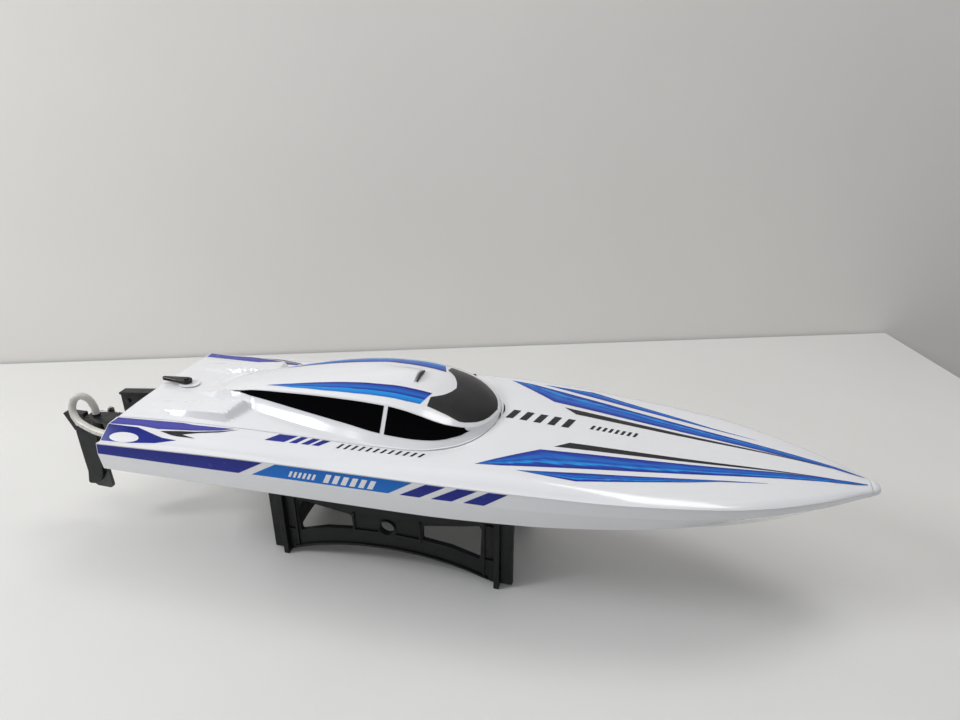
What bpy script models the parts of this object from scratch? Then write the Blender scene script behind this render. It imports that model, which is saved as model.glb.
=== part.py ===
"""Radio-controlled deep-V racing boat on a plug-together display stand.

Boat frame used while drawing (millimetres): x = 0 at the transom, +x to the bow,
y = 0 on the centreline, +y to port, z = 0 at the stern corner of the deck.
`put` turns that frame into the part frame: metres, +Z up, origin on the ground
under the middle of the bounding box.
"""
import math

import bmesh
import bpy
import numpy as np
from mathutils import Vector
from mathutils.geometry import tessellate_polygon

# ---------------------------------------------------------------- driving dimensions (mm)
HULL_LENGTH = 650.0        # transom to bow tip
STERN_REACH = 76.0         # rudder head behind the transom
GROUND = -136.2            # ground below the stern deck corner
KEEL = -80.0               # keel below the stern deck corner
SHELL = 2.0                # hull, deck and hatch wall
NOSE_JOINT = 641.0         # where the rubber nose cap starts
HATCH_GAP = 0.4            # each side of the hatch seam
SHAFT_Z = -64.0            # drive line height where it passes the transom
SHAFT_SLOPE = 0.07         # drive line rise per mm forward
PIVOT = (-40.0, -50.0)     # rudder pivot, x and y
TILLER_R = 18.0            # rudder pivot to push rod
ROD_Z = -18.2
HORN = (56.0, -50.0)       # servo output axis, x and y
LATCH = (26.0, 0.0)        # latch pivot
CRADLE_X = (144.0, 348.6)
PANEL_Y = 47.5
PLATE = 5.0                # stand plate thickness
STAND_MID = 246.3
ROOF_CROWN = 2.6           # how flat the roof is across its middle

MID_X = 0.5 * (HULL_LENGTH - STERN_REACH)


# ---------------------------------------------------------------- small maths
def curve(*pairs):
    """Monotone cubic through (x, value) pairs, flat outside them."""
    xs = np.array([p[0] for p in pairs], float)
    ys = np.array([p[1] for p in pairs], float)
    h = np.diff(xs)
    d = np.diff(ys) / h
    m = np.zeros(len(xs))
    for i in range(1, len(xs) - 1):
        if d[i - 1] * d[i] > 0.0:
            w1 = 2 * h[i] + h[i - 1]
            w2 = h[i] + 2 * h[i - 1]
            m[i] = (w1 + w2) / (w1 / d[i - 1] + w2 / d[i])
    m[0] = d[0]
    m[-1] = d[-1]

    def value(x):
        x = min(max(float(x), xs[0]), xs[-1])
        i = int(min(max(np.searchsorted(xs, x) - 1, 0), len(h) - 1))
        t = (x - xs[i]) / h[i]
        a = (1 + 2 * t) * (1 - t) ** 2
        b = t * (1 - t) ** 2
        c = t * t * (3 - 2 * t)
        e = t * t * (t - 1)
        return float(a * ys[i] + b * h[i] * m[i] + c * ys[i + 1] + e * h[i] * m[i + 1])
    return value


def smooth(t):
    t = min(max(t, 0.0), 1.0)
    return t * t * (3 - 2 * t)


def put(p):
    return ((p[0] - MID_X) * 0.001, p[1] * 0.001, (p[2] - GROUND) * 0.001)


# ---------------------------------------------------------------- hull lines
beam = curve((0, 97.2), (160, 97.6), (300, 97.4), (365, 95.6), (414, 92.2), (448, 88.2), (500, 79.0),
             (530, 71.5), (565, 57.5), (600, 38.8), (620, 25.5), (635, 14.5), (645, 8.0), (650, 4.0))
rail_z = curve((0, -9.2), (161, -3.7), (300, -2.5), (365, -2.6), (448, -4.3), (530, -6.5), (565, -8.3),
               (601, -10.4), (620, -12.0), (635, -13.5), (650, -14.8))
knuckle_out = curve((0, 1.0), (285, 0.5), (448, 0.1), (563, -0.6), (650, -0.8))
knuckle_z = curve((0, -19.2), (285, -17.8), (365, -16.4), (448, -15.4), (530, -15.0), (563, -15.4),
                  (620, -17.6), (650, -19.4))
chine_y = curve((0, 95.6), (285, 94.6), (368, 91.0), (448, 80.8), (498, 68.8), (557, 46.5), (603, 25.5),
                (625, 14.5), (645, 5.0), (650, 2.5))
chine_z = curve((0, -36.3), (285, -36.0), (368, -34.8), (448, -32.4), (498, -30.0), (557, -26.4),
                (603, -23.2), (630, -21.6), (650, -20.6))
keel_z = curve((0, KEEL), (470, KEEL), (519, -77.5), (552, -69.0), (582, -57.5), (604, -46.0),
               (624, -34.2), (641, -24.4), (650, -20.9))

# deck
crease_y = curve((0, 79), (60, 78), (115, 77), (190, 77), (290, 78.5), (335, 80), (414, 79.5), (448, 75),
                 (500, 66), (530, 59.5), (565, 48.5), (600, 31.5), (620, 20.5), (635, 11.2), (645, 6.0),
                 (650, 3))
crease_z = curve((0, 0), (60, 1.2), (115, 2.3), (190, 3.8), (290, 6.4), (335, 7.0), (414, 3.2), (448, 0.9),
                 (500, -1.8), (530, -3.4), (565, -5.3), (600, -7.8), (620, -9.8), (635, -11.9),
                 (650, -13.6))
foot_y = curve((0, 92.4), (60, 93.2), (190, 95.0), (300, 95.4), (365, 93.8), (448, 86.4), (500, 77.2),
               (530, 69.8), (565, 56.0), (600, 37.6), (620, 24.6), (635, 13.7), (650, 3.7))
foot_z = curve((0, -9.8), (60, -6.6), (190, -2.2), (300, -1.2), (365, -1.4), (448, -3.2), (530, -5.6),
               (565, -7.5), (601, -9.6), (620, -11.2), (650, -14.2))
middle_z = curve((0, 3.0), (60, 4.6), (190, 8.3), (287, 9.4), (339, 9.6), (381, 7.4), (420, 5.0),
                 (450, 2.9), (500, -0.4), (558, -3.4), (600, -6.4), (620, -8.4), (642, -11.3), (650, -12.4))
shoulder_k = curve((0, 0.0), (60, 0.1), (160, 0.7), (330, 0.8), (450, 0.7), (650, 0.5))

# hatch
hatch_half = curve((0, 66.5), (60, 63.6), (120, 64.0), (190, 66.0), (243, 68.8), (268, 69.0), (287, 67.2),
                   (300, 63.2), (314, 55.8), (322, 48.2), (329, 38.0), (334.5, 24.0), (337.6, 12.0),
                   (339, 0.0))
apex_z = curve((44, 4.0), (84, 14.8), (125, 24.7), (151, 29.8), (183, 35.3), (208, 38.8), (232, 41.0),
               (249, 40.9), (266, 39.6), (284, 36.9), (299, 32.3), (310, 27.8), (320, 23.3), (330, 18.8),
               (336, 16.0), (339, 13.5))
roof_y = curve((44, 6), (84, 17), (125, 25.5), (151, 32.0), (183, 38.4), (208, 42.0), (232, 44.4),
               (249, 45.9), (266, 47.6), (280, 48.6), (292, 49.0), (301, 48.4), (307, 46.8), (312, 44.4),
               (321, 39.0),
               (325.5, 34.4), (330, 27.6), (334, 18.6), (337, 9.0), (339, 1.0))
roof_z = curve((44, 4.0), (84, 13.8), (125, 22.4), (151, 27.0), (183, 31.4), (208, 33.4), (232, 34.2),
               (249, 33.9), (266, 32.5), (280, 29.8), (292, 26.5), (301, 23.9), (312, 20.2), (321, 17.2),
               (325.5, 15.9), (330, 15.1), (336, 14.4), (339, 13.2))
sill_y = curve((44, 10), (84, 19), (130, 31), (174, 43), (215, 53), (250, 60.6), (275, 61.8), (293, 59.6),
               (310, 51.4), (322, 40.4), (330, 29.2), (336, 13.8), (339, 1.6))
sill_z = curve((44, 4.4), (84, 13.6), (130, 14.4), (174, 14.4), (215, 13.9), (250, 13.0), (293, 12.2),
               (315, 12.4), (330, 13.0), (339, 12.2))
flank_y = curve((44, 14), (84, 25), (130, 38), (174, 50.0), (215, 59.0), (250, 66.0), (275, 67.0),
                (293, 64.0), (310, 56.0), (322, 45.4), (330, 33.5), (336, 17.0), (339, 2.4))


def deck_z(x, y):
    """Top surface of the deck moulding, also the base surface of the hatch."""
    y = abs(y)
    yc, zc = crease_y(x), crease_z(x)
    yf, zf = foot_y(x), foot_z(x)
    if y <= yc:
        return zc + (middle_z(x) - zc) * (1.0 - (y / max(yc, 1e-6)) ** 2)
    if y <= yf:
        t = (y - yc) / max(yf - yc, 1e-6)
        k = shoulder_k(x)
        return zc + (zf - zc) * ((1 - k) * t + k * t * t)
    t = min((y - yf) / max(beam(x) - yf, 1e-6), 1.0)
    return zf + (rail_z(x) - zf) * t


def blister(x, y):
    """Wedge-shaped raised pad each side of the engine cover, blunt at its front."""
    if x <= 18.0 or x >= 120.0:
        return 0.0
    rise = min((x - 18.0) / 88.0, 1.0)
    nose = smooth((120.0 - x) / 12.0)
    half = 8.0 + 5.0 * (x - 18.0) / 102.0
    across = smooth((half + 3.5 - abs(abs(y) - 44.0)) / 5.5)
    return 8.5 * rise * nose * across


def scoop(x, y):
    """Raised intake on the roof, open towards the bow."""
    if x < 212.0 or x > 266.0:
        return 0.0
    along = smooth((x - 212.0) / 50.0)
    front = smooth((266.0 - x) / 1.5)
    return 3.8 * along * front * math.cos(math.pi * min(abs(y) / 27.0, 0.5)) ** 0.8


def hatch_z(x, y):
    """Top surface of the hatch with the moulded canopy."""
    y = abs(y)
    base = deck_z(x, y)
    if x < 44.0:
        return base + blister(x, y)
    yr, ys, yf = roof_y(x), sill_y(x), flank_y(x)
    zs, zr, za = sill_z(x), roof_z(x), apex_z(x)
    lift = smooth((x - 44.0) / 34.0)
    zb = deck_z(x, yf)
    if y >= yf:
        return base + blister(x, y)
    if y >= ys:
        z = zb + (zs - zb) * (yf - y) / max(yf - ys, 1e-6)
    elif y >= yr:
        z = zs + (zr - zs) * (ys - y) / max(ys - yr, 1e-6)
    else:
        z = zr + (za - zr) * (1.0 - (y / max(yr, 1e-6)) ** ROOF_CROWN)
    z = base + (max(z, base) - base) * lift
    return z + scoop(x, y) + blister(x, y)


# ---------------------------------------------------------------- meshes
def material(name, colour, rough=0.4, metal=0.0):
    mat = bpy.data.materials.get(name)
    if mat is None:
        mat = bpy.data.materials.new(name)
        mat.use_nodes = True
        bsdf = mat.node_tree.nodes["Principled BSDF"]
        bsdf.inputs["Base Color"].default_value = (*colour, 1.0)
        bsdf.inputs["Roughness"].default_value = rough
        bsdf.inputs["Metallic"].default_value = metal
    return mat


def make(name, verts, faces, look):
    """One closed body from boat-frame vertices; coincident vertices are merged."""
    mesh = bpy.data.meshes.new(name)
    mesh.from_pydata([put(v) for v in verts], [], [list(f) for f in faces])
    bm = bmesh.new()
    bm.from_mesh(mesh)
    bmesh.ops.remove_doubles(bm, verts=bm.verts, dist=1e-7)
    bmesh.ops.dissolve_degenerate(bm, edges=bm.edges, dist=1e-8)
    bmesh.ops.triangulate(bm, faces=bm.faces)
    bmesh.ops.recalc_face_normals(bm, faces=bm.faces)
    bm.to_mesh(mesh)
    bm.free()
    obj = bpy.data.objects.new(name, mesh)
    bpy.context.scene.collection.objects.link(obj)
    mesh.materials.append(material(look[0], *look[1:]))
    return obj


def slab(name, outer, inner, faces, look):
    """Sheet with thickness: quads between two matching vertex lists, walls round every open edge."""
    n = len(outer)
    out = [tuple(f) for f in faces]
    back = [tuple(n + i for i in reversed(f)) for f in faces]
    edges = {}
    for f in faces:
        for a, b in zip(f, f[1:] + f[:1]):
            edges[(a, b)] = edges.get((a, b), 0) + 1
    walls = [(b, a, n + a, n + b) for (a, b) in edges if (b, a) not in edges]
    return make(name, list(outer) + list(inner), out + back + walls, look)


def grid_faces(rows, cols):
    return [(r * cols + c, r * cols + c + 1, (r + 1) * cols + c + 1, (r + 1) * cols + c)
            for r in range(rows - 1) for c in range(cols - 1)]


def ring_faces(k, n):
    """Faces of a tube of k rings with n points, both ends capped."""
    faces = []
    for r in range(k - 1):
        for c in range(n):
            d = (c + 1) % n
            faces.append((r * n + c, r * n + d, (r + 1) * n + d, (r + 1) * n + c))
    faces.append(tuple(reversed(range(n))))
    faces.append(tuple(range((k - 1) * n, k * n)))
    return faces


def loft(name, rings, look):
    verts = [p for ring in rings for p in ring]
    return make(name, verts, ring_faces(len(rings), len(rings[0])), look)


def prism(name, outline, axis, lo, hi, look, holes=()):
    """Plate cut from a flat outline with holes. axis: which coordinate is the thickness."""
    loops = [list(outline)] + [list(h) for h in holes]
    flat = [[Vector((p[0], p[1], 0.0)) for p in loop] for loop in loops]
    tris = tessellate_polygon(flat)
    pts = [p for loop in loops for p in loop]
    n = len(pts)

    def place(p, t):
        if axis == 0:
            return (t, p[0], p[1])
        if axis == 1:
            return (p[0], t, p[1])
        return (p[0], p[1], t)
    verts = [place(p, lo) for p in pts] + [place(p, hi) for p in pts]
    faces = [tuple(t) for t in tris] + [tuple(n + i for i in reversed(t)) for t in tris]
    start = 0
    for loop in loops:
        m = len(loop)
        for i in range(m):
            a, b = start + i, start + (i + 1) % m
            faces.append((a, b, n + b, n + a))
        start += m
    return make(name, verts, faces, look)


def box(name, lo, hi, look):
    (x0, y0, z0), (x1, y1, z1) = lo, hi
    return prism(name, [(x0, y0), (x1, y0), (x1, y1), (x0, y1)], 2, z0, z1, look)


def circle(cx, cy, r, n=24, a0=0.0):
    return [(cx + r * math.cos(a0 + 2 * math.pi * i / n), cy + r * math.sin(a0 + 2 * math.pi * i / n))
            for i in range(n)]


def frame_along(d):
    d = Vector(d).normalized()
    up = Vector((0, 0, 1)) if abs(d.z) < 0.9 else Vector((1, 0, 0))
    u = d.cross(up).normalized()
    return d, u, u.cross(d).normalized()


def turned(name, origin, direction, profile, look, n=24):
    """Body of revolution. profile: (distance along, radius); a bored part closes on itself."""
    d, u, v = frame_along(direction)
    o = Vector(origin)
    bored = profile[0] == profile[-1]
    pts = profile[:-1] if bored else profile
    verts = []
    for s, r in pts:
        for i in range(n):
            a = 2 * math.pi * i / n
            verts.append(tuple(o + d * s + (u * math.cos(a) + v * math.sin(a)) * max(r, 0.0)))
    k = len(pts)
    if not bored:
        return make(name, verts, ring_faces(k, n), look)
    faces = []
    for r in range(k):
        q = (r + 1) % k
        for c in range(n):
            e = (c + 1) % n
            faces.append((r * n + c, r * n + e, q * n + e, q * n + c))
    return make(name, verts, faces, look)


def rod(name, a, b, r, look, n=16):
    d = Vector(b) - Vector(a)
    return turned(name, a, d, [(0, r), (d.length, r)], look, n)


def spline(points, steps=10):
    """Catmull-Rom path through the points."""
    p = [Vector(q) for q in points]
    p = [p[0] * 2 - p[1]] + p + [p[-1] * 2 - p[-2]]
    out = []
    for i in range(1, len(p) - 2):
        for s in range(steps):
            t = s / steps
            a, b, c, d = p[i - 1], p[i], p[i + 1], p[i + 2]
            out.append(0.5 * ((2 * b) + (c - a) * t + (2 * a - 5 * b + 4 * c - d) * t * t
                              + (3 * b - a - 3 * c + d) * t ** 3))
    out.append(p[-2])
    return out


def hose(name, points, r_out, r_in, look, n=14, steps=8):
    """Soft tube along a path, open bore from end to end."""
    path = spline(points, steps)
    rings_out, rings_in = [], []
    d = (path[1] - path[0]).normalized()
    u = d.cross(Vector((0.13, 0.21, 0.97))).normalized()
    for i, q in enumerate(path):
        a = path[max(i - 1, 0)]
        b = path[min(i + 1, len(path) - 1)]
        d = (b - a).normalized()
        u = (u - d * u.dot(d)).normalized()
        v = d.cross(u)
        ring = [u * math.cos(2 * math.pi * k / n) + v * math.sin(2 * math.pi * k / n) for k in range(n)]
        rings_out.append([q + w * r_out for w in ring])
        rings_in.append([q + w * r_in for w in ring])
    loops = rings_out + rings_in[::-1]
    verts = [tuple(w) for ring in loops for w in ring]
    k = len(loops)
    faces = []
    for r in range(k):
        q = (r + 1) % k
        for c in range(n):
            e = (c + 1) % n
            faces.append((r * n + c, r * n + e, q * n + e, q * n + c))
    return make(name, verts, faces, look)


def carve(obj, tools, op="DIFFERENCE"):
    """Cut or join tool bodies into obj, leaving a plain mesh and no tools."""
    for tool in tools:
        mod = obj.modifiers.new("cut", "BOOLEAN")
        mod.operation = op
        mod.solver = "EXACT"
        mod.object = tool
        bpy.context.view_layer.update()
        deps = bpy.context.evaluated_depsgraph_get()
        mesh = bpy.data.meshes.new_from_object(obj.evaluated_get(deps))
        obj.modifiers.clear()
        old = obj.data
        obj.data = mesh
        bpy.data.meshes.remove(old)
        junk = tool.data
        bpy.data.objects.remove(tool)
        bpy.data.meshes.remove(junk)
    bm = bmesh.new()
    bm.from_mesh(obj.data)
    bmesh.ops.remove_doubles(bm, verts=bm.verts, dist=2e-7)
    bmesh.ops.dissolve_degenerate(bm, edges=bm.edges, dist=1e-7)
    bmesh.ops.triangulate(bm, faces=bm.faces)
    bmesh.ops.recalc_face_normals(bm, faces=bm.faces)
    bm.to_mesh(obj.data)
    bm.free()
    return obj


def shade_smooth(obj, angle=0.6):
    for poly in obj.data.polygons:
        poly.use_smooth = True
    bm = bmesh.new()
    bm.from_mesh(obj.data)
    for e in bm.edges:
        e.smooth = len(e.link_faces) == 2 and e.calc_face_angle(0.0) < angle
    bm.to_mesh(obj.data)
    bm.free()


# ---------------------------------------------------------------- looks
WHITE = ("white_gloss", (0.86, 0.87, 0.90), 0.18)
WHITE_DECK = ("white_deck", (0.86, 0.87, 0.90), 0.2)
WHITE_HATCH = ("white_hatch", (0.87, 0.88, 0.91), 0.18)
WHITE_TRIM = ("white_trim", (0.82, 0.83, 0.86), 0.35)
RUBBER_WHITE = ("nose_rubber", (0.85, 0.85, 0.86), 0.6)
BLACK = ("black_nylon", (0.018, 0.019, 0.021), 0.45)
STAND_BLACK = ("stand_abs", (0.02, 0.021, 0.023), 0.5)
FOAM = ("seal_foam", (0.03, 0.03, 0.03), 0.9)
STEEL = ("steel", (0.55, 0.56, 0.58), 0.25, 1.0)
BRASS = ("brass", (0.75, 0.56, 0.25), 0.3, 1.0)
ALU_BLUE = ("anodised_blue", (0.05, 0.16, 0.55), 0.3, 1.0)
SILICONE = ("silicone", (0.80, 0.79, 0.75), 0.35)
WRAP = ("battery_wrap", (0.05, 0.12, 0.35), 0.35)
CASE = ("esc_case", (0.03, 0.03, 0.035), 0.4)
SERVO_CASE = ("servo_case", (0.02, 0.02, 0.02), 0.35)
PLY = ("tray_ply", (0.50, 0.36, 0.20), 0.7)
STRAP = ("strap_web", (0.02, 0.02, 0.022), 0.85)
PROP = ("prop_nylon", (0.03, 0.03, 0.032), 0.35)
DARK = ("intake_black", (0.01, 0.01, 0.011), 0.3)


# ---------------------------------------------------------------- hull
def hull_section(x, grow=0.0):
    """Half section from keel to rim, optionally moved in by the wall thickness."""
    yc, zc, zk = chine_y(x), chine_z(x), keel_z(x)
    yk, zn = beam(x) + knuckle_out(x), knuckle_z(x)
    s = 1.2 * smooth((600.0 - x) / 120.0)

    def on(f, drop=0.0):
        return (f * yc, zk + (zc - zk) * f - drop)
    pts = [(0.0, zk), on(0.38), on(0.455, s), on(0.462), on(0.70), on(0.775, s), on(0.782),
           (yc, zc), (yk, zn), (beam(x), rail_z(x) - 2.8)]
    if grow == 0.0:
        return pts
    out = []
    for i, p in enumerate(pts):
        a = pts[i - 1] if i else (-pts[1][0], pts[1][1])
        b = pts[i + 1] if i + 1 < len(pts) else (2 * p[0] - a[0], 2 * p[1] - a[1])
        d1 = np.array([p[0] - a[0], p[1] - a[1]])
        d2 = np.array([b[0] - p[0], b[1] - p[1]])
        d1 /= max(np.linalg.norm(d1), 1e-9)
        d2 /= max(np.linalg.norm(d2), 1e-9)
        n = np.array([-(d1[1] + d2[1]), d1[0] + d2[0]])
        n /= np.linalg.norm(n)
        c = max(float(n @ np.array([-d1[1], d1[0]])), 0.6)
        q = np.array(p) + n * grow / c
        out.append((max(q[0], 0.0), q[1]))
    out[0] = (0.0, out[0][1])
    out[-1] = (out[-1][0], pts[-1][1])
    # smooth inner skin: the strakes are only on the outside
    k, c = out[0], out[7]
    for i, f in ((1, 0.38), (2, 0.455), (3, 0.462), (4, 0.70), (5, 0.775), (6, 0.782)):
        out[i] = (k[0] + (c[0] - k[0]) * f, k[1] + (c[1] - k[1]) * f)
    return out


def full_section(x, grow=0.0):
    half = hull_section(x, grow)
    port = [(y, z) for y, z in reversed(half)]
    return port + [(-y, z) for y, z in half[1:]]


HULL_X = [0, 60, 130, 200, 270, 320, 360, 395, 425, 450, 474, 496, 514, 530, 545, 560, 575, 588, 600, 611,
          621, 630, 637, NOSE_JOINT]


def build_hull():
    outer, inner = [], []
    last = 618.0
    for x in HULL_X:
        xi = SHELL + x * (last - SHELL) / NOSE_JOINT
        outer.append([(x, y, z) for y, z in full_section(x)])
        inner.append([(xi, y, z) for y, z in full_section(xi, SHELL)])
    m = len(outer[0])
    for rows, x0, x1, off in ((outer, 0.0, NOSE_JOINT, 0.0), (inner, SHELL, last, SHELL)):
        top0 = rail_z(x0) - 2.8
        b0 = beam(x0) - off
        top1 = rail_z(x1) - 2.8
        b1 = beam(x1) - off
        t = [1 - 2 * j / (m - 1) for j in range(m)]
        rows.insert(0, [(x0, b0 * s, top0) for s in t])
        rows.append([(x1, b1 * s, top1) for s in t])
    n = len(outer)
    flat_o = [p for row in outer for p in row]
    flat_i = [p for row in inner for p in row]
    hull = slab("hull_lower", flat_o, flat_i, grid_faces(n, m), WHITE)
    holes = [rod("shaft_hole", (-3, 0, SHAFT_Z - 3 * SHAFT_SLOPE), (5, 0, SHAFT_Z + 5 * SHAFT_SLOPE),
                 3.6, WHITE, 20)]
    rod_hole = (PIVOT[1] + TILLER_R, ROD_Z, 1.5, 12)
    for y, z, r, n in (rod_hole, (*TUBE_IN[1:], 2.9, 16), (*OUTLET[1:], 2.9, 16)):
        holes.append(rod("hole", (-3, y, z), (5, y, z), r, WHITE, n))
    return carve(hull, holes)


def hatch_outline(offset=0.0):
    """Half outline of the hatch opening from the stern to the nose, moved out by offset."""
    xs = [0, 30, 60, 90, 120, 155, 190, 220, 243, 268, 287]
    pts = [(x, hatch_half(x)) for x in xs]
    y0 = hatch_half(287)
    for i in range(1, 13):
        y = y0 * math.cos(0.5 * math.pi * i / 12) if i < 12 else 0.0
        lo, hi = 287.0, 339.0
        for _ in range(40):
            mid = 0.5 * (lo + hi)
            if hatch_half(mid) > y:
                lo = mid
            else:
                hi = mid
        pts.append((0.5 * (lo + hi) if i < 12 else 339.0, y))
    if offset == 0.0:
        return pts
    out = []
    for i, p in enumerate(pts):
        a = pts[max(i - 1, 0)]
        b = pts[i + 1] if i + 1 < len(pts) else (p[0], -1.0)
        tx, ty = b[0] - a[0], b[1] - a[1]
        ln = math.hypot(tx, ty)
        nx, ny = -ty / ln, tx / ln
        if i == 0:
            nx, ny = 0.0, 1.0
        if i == len(pts) - 1:
            nx, ny = 1.0, 0.0
        out.append((p[0] + nx * offset, max(p[1] + ny * offset, 0.0)))
    out[-1] = (out[-1][0], 0.0)
    return out


def rim_path(half, x_end, n_side=11, n_front=10, n_end=2):
    """Deck line matched point for point with the hatch outline."""
    pts = [(300.0 * i / (n_side - 1), 0) for i in range(n_side)]
    pts = [(x, half(x)) for x, _ in pts]
    for i in range(1, n_front + 1):
        x = 300.0 + (x_end - 300.0) * (i / n_front) ** 0.85
        pts.append((x, half(x)))
    y_end = half(x_end)
    for i in range(1, n_end + 1):
        pts.append((x_end, y_end * (1 - i / n_end)))
    return pts


def mirrored(half):
    return list(half) + [(x, -y) for x, y in reversed(half[:-1])]


def build_deck():
    inner_line = hatch_outline(HATCH_GAP)
    crease = rim_path(crease_y, NOSE_JOINT - 2.4)
    foot = rim_path(foot_y, NOSE_JOINT - 0.9)
    rail = rim_path(beam, NOSE_JOINT)
    lines = []
    for t in (0.0, 0.2, 0.4, 0.6, 0.8, 1.0):
        lines.append([(a[0] + (b[0] - a[0]) * t, a[1] + (b[1] - a[1]) * t)
                      for a, b in zip(inner_line, crease)])
    for t in (0.33, 0.66, 1.0):
        lines.append([(a[0] + (b[0] - a[0]) * t, a[1] + (b[1] - a[1]) * t) for a, b in zip(crease, foot)])
    lines.append(rail)
    lines = [mirrored(line) for line in lines]
    cols = len(lines[0])
    top = [(x, y, deck_z(x, y)) for line in lines for x, y in line]
    low = [(x, y, z - SHELL) for x, y, z in top]
    return slab("deck", top, low, grid_faces(len(lines), cols), WHITE_DECK)


def strip(name, off_a, off_b, z_top, z_low, look, x_start=3.4):
    """Band that follows the hatch seam under the deck."""
    rows = []
    for off in (off_a, off_b):
        line = mirrored(hatch_outline(off))
        rows.append([(max(x, x_start), y) for x, y in line])
    cols = len(rows[0])
    top = [(x, y, deck_z(x, y) + z_top) for row in rows for x, y in row]
    low = [(x, y, deck_z(x, y) + z_low) for row in rows for x, y in row]
    return slab(name, top, low, grid_faces(len(rows), cols), look)


def build_hatch():
    xs = [0.25, 18, 34, 48, 62, 76, 90, 102, 109, 114, 120, 135, 152, 170, 188, 205, 222, 238, 252, 264.4,
          266.2, 276, 285, 293, 301, 308, 315, 321, 326, 330, 333, 335.4, 337.4, 338.6]
    fr = [0.0, 0.2, 0.36, 0.6, 0.82, 1.0]
    rows = []
    for x in xs:
        h = max(hatch_half(x) - HATCH_GAP, 0.6)
        if x > 336:
            h = min(h, hatch_half(x))
        yr, ys, yf = roof_y(x), sill_y(x), flank_y(x)
        yr = min(yr, 0.6 * h) if x < 84 else min(yr, 0.78 * h)
        ys = min(max(ys, yr + 0.3), 0.92 * h)
        yf = min(max(yf, ys + 0.2), 0.965 * h)
        half = [yr * f for f in fr]
        half += [yr + (ys - yr) * f for f in (0.5, 1.0)]
        half += [yf]
        half += [yf + (h - yf) * f for f in (0.2, 0.36, 0.55, 0.74, 0.88, 1.0)]
        full = half[::-1] + [-y for y in half[1:]]
        rows.append([(x, y, hatch_z(x, y)) for y in full])
    cols = len(rows[0])
    top = [p for row in rows for p in row]
    low = [(x, y, z - SHELL) for x, y, z in top]
    return slab("hatch", top, low, grid_faces(len(rows), cols), WHITE_HATCH)


def build_transom_cap():
    ys = [-88, -84, -79, -73, -67, -60, -48, -36, -24, -12, 0, 12, 24, 36, 48, 60, 67, 73, 79, 84, 88]
    top = [(y, deck_z(1.0, y) - SHELL - 0.5) for y in ys]
    bottom = [(88, rail_z(0) - 2.4), (-88, rail_z(0) - 2.4)]
    return prism("transom_cap", top + bottom, 0, 0.2, 2.6, WHITE_TRIM)


def build_bow_cap():
    rings = []
    x0 = NOSE_JOINT + 0.4
    for t in (0.0, 0.3, 0.55, 0.75, 0.9, 0.975):
        x = x0 + (HULL_LENGTH - x0) * t
        f = math.sqrt(max(1 - t * t, 0.0))
        w = 9.6 * max(f, 0.2)
        zt = -16.2 + 4.9 * max(f, 0.2)
        zb = -16.2 - 8.0 * max(f, 0.2)
        zm = 0.5 * (zt + zb)
        ring = []
        for i in range(20):
            a = 2 * math.pi * i / 20
            c, s = math.cos(a), math.sin(a)
            y = w * math.copysign(abs(c) ** 0.75, c)
            z = zm + 0.5 * (zt - zb) * math.copysign(abs(s) ** 0.85, s)
            ring.append((x, y * (1.0 if s > 0 else 1.0 - 0.55 * abs(s)), z))
        rings.append(ring)
    return loft("bow_cap", rings, RUBBER_WHITE)


# ---------------------------------------------------------------- latch and roof trim
def teardrop(c, tail, r0, r1, n=10):
    cx, cy = c
    pts = []
    for i in range(n + 1):
        a = -math.pi / 2 + math.pi * i / n
        pts.append((cx + r0 * math.cos(a), cy + r0 * math.sin(a)))
    for i in range(n + 1):
        a = math.pi / 2 + math.pi * i / n
        pts.append((tail[0] + r1 * math.cos(a), tail[1] + r1 * math.sin(a)))
    return pts


def build_latch():
    lx, ly = LATCH
    zd = hatch_z(lx, 0)
    pad = [(lx + 2.5 + 10.5 * math.cos(a), 8.0 * math.sin(a)) for a in np.linspace(0, 2 * math.pi, 29)[:-1]]
    prism("latch_pad", pad, 2, zd + 0.8, zd + 2.0, WHITE_TRIM)
    outline = teardrop((lx, ly), (1.4, 0.0), 5.2, 2.0)
    prism("latch_lever", outline, 2, zd + 2.3, zd + 6.0, BLACK)
    turned("latch_screw", (lx, ly, zd + 6.3), (0, 0, 1), [(0, 2.6), (0.7, 2.4), (1.2, 1.6)], STEEL, 16)
    cam = teardrop((lx, ly), (lx - 13.0, 0.0), 5.0, 2.6)
    prism("latch_cam", cam, 2, zd - 6.4, zd - 2.7, BLACK)


def build_intake():
    """Dark crescent closing the front of the roof intake."""
    ys = np.linspace(-11.0, 11.0, 11)
    low = [hatch_z(266.6, y) + 0.3 for y in ys]
    high = [max(hatch_z(263.5, y) - 0.35, base + 0.4) for y, base in zip(ys, low)]
    outline = list(zip(ys, low)) + list(zip(ys, high))[::-1]
    return prism("intake_insert", outline, 0, 266.5, 267.6, DARK)


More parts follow.
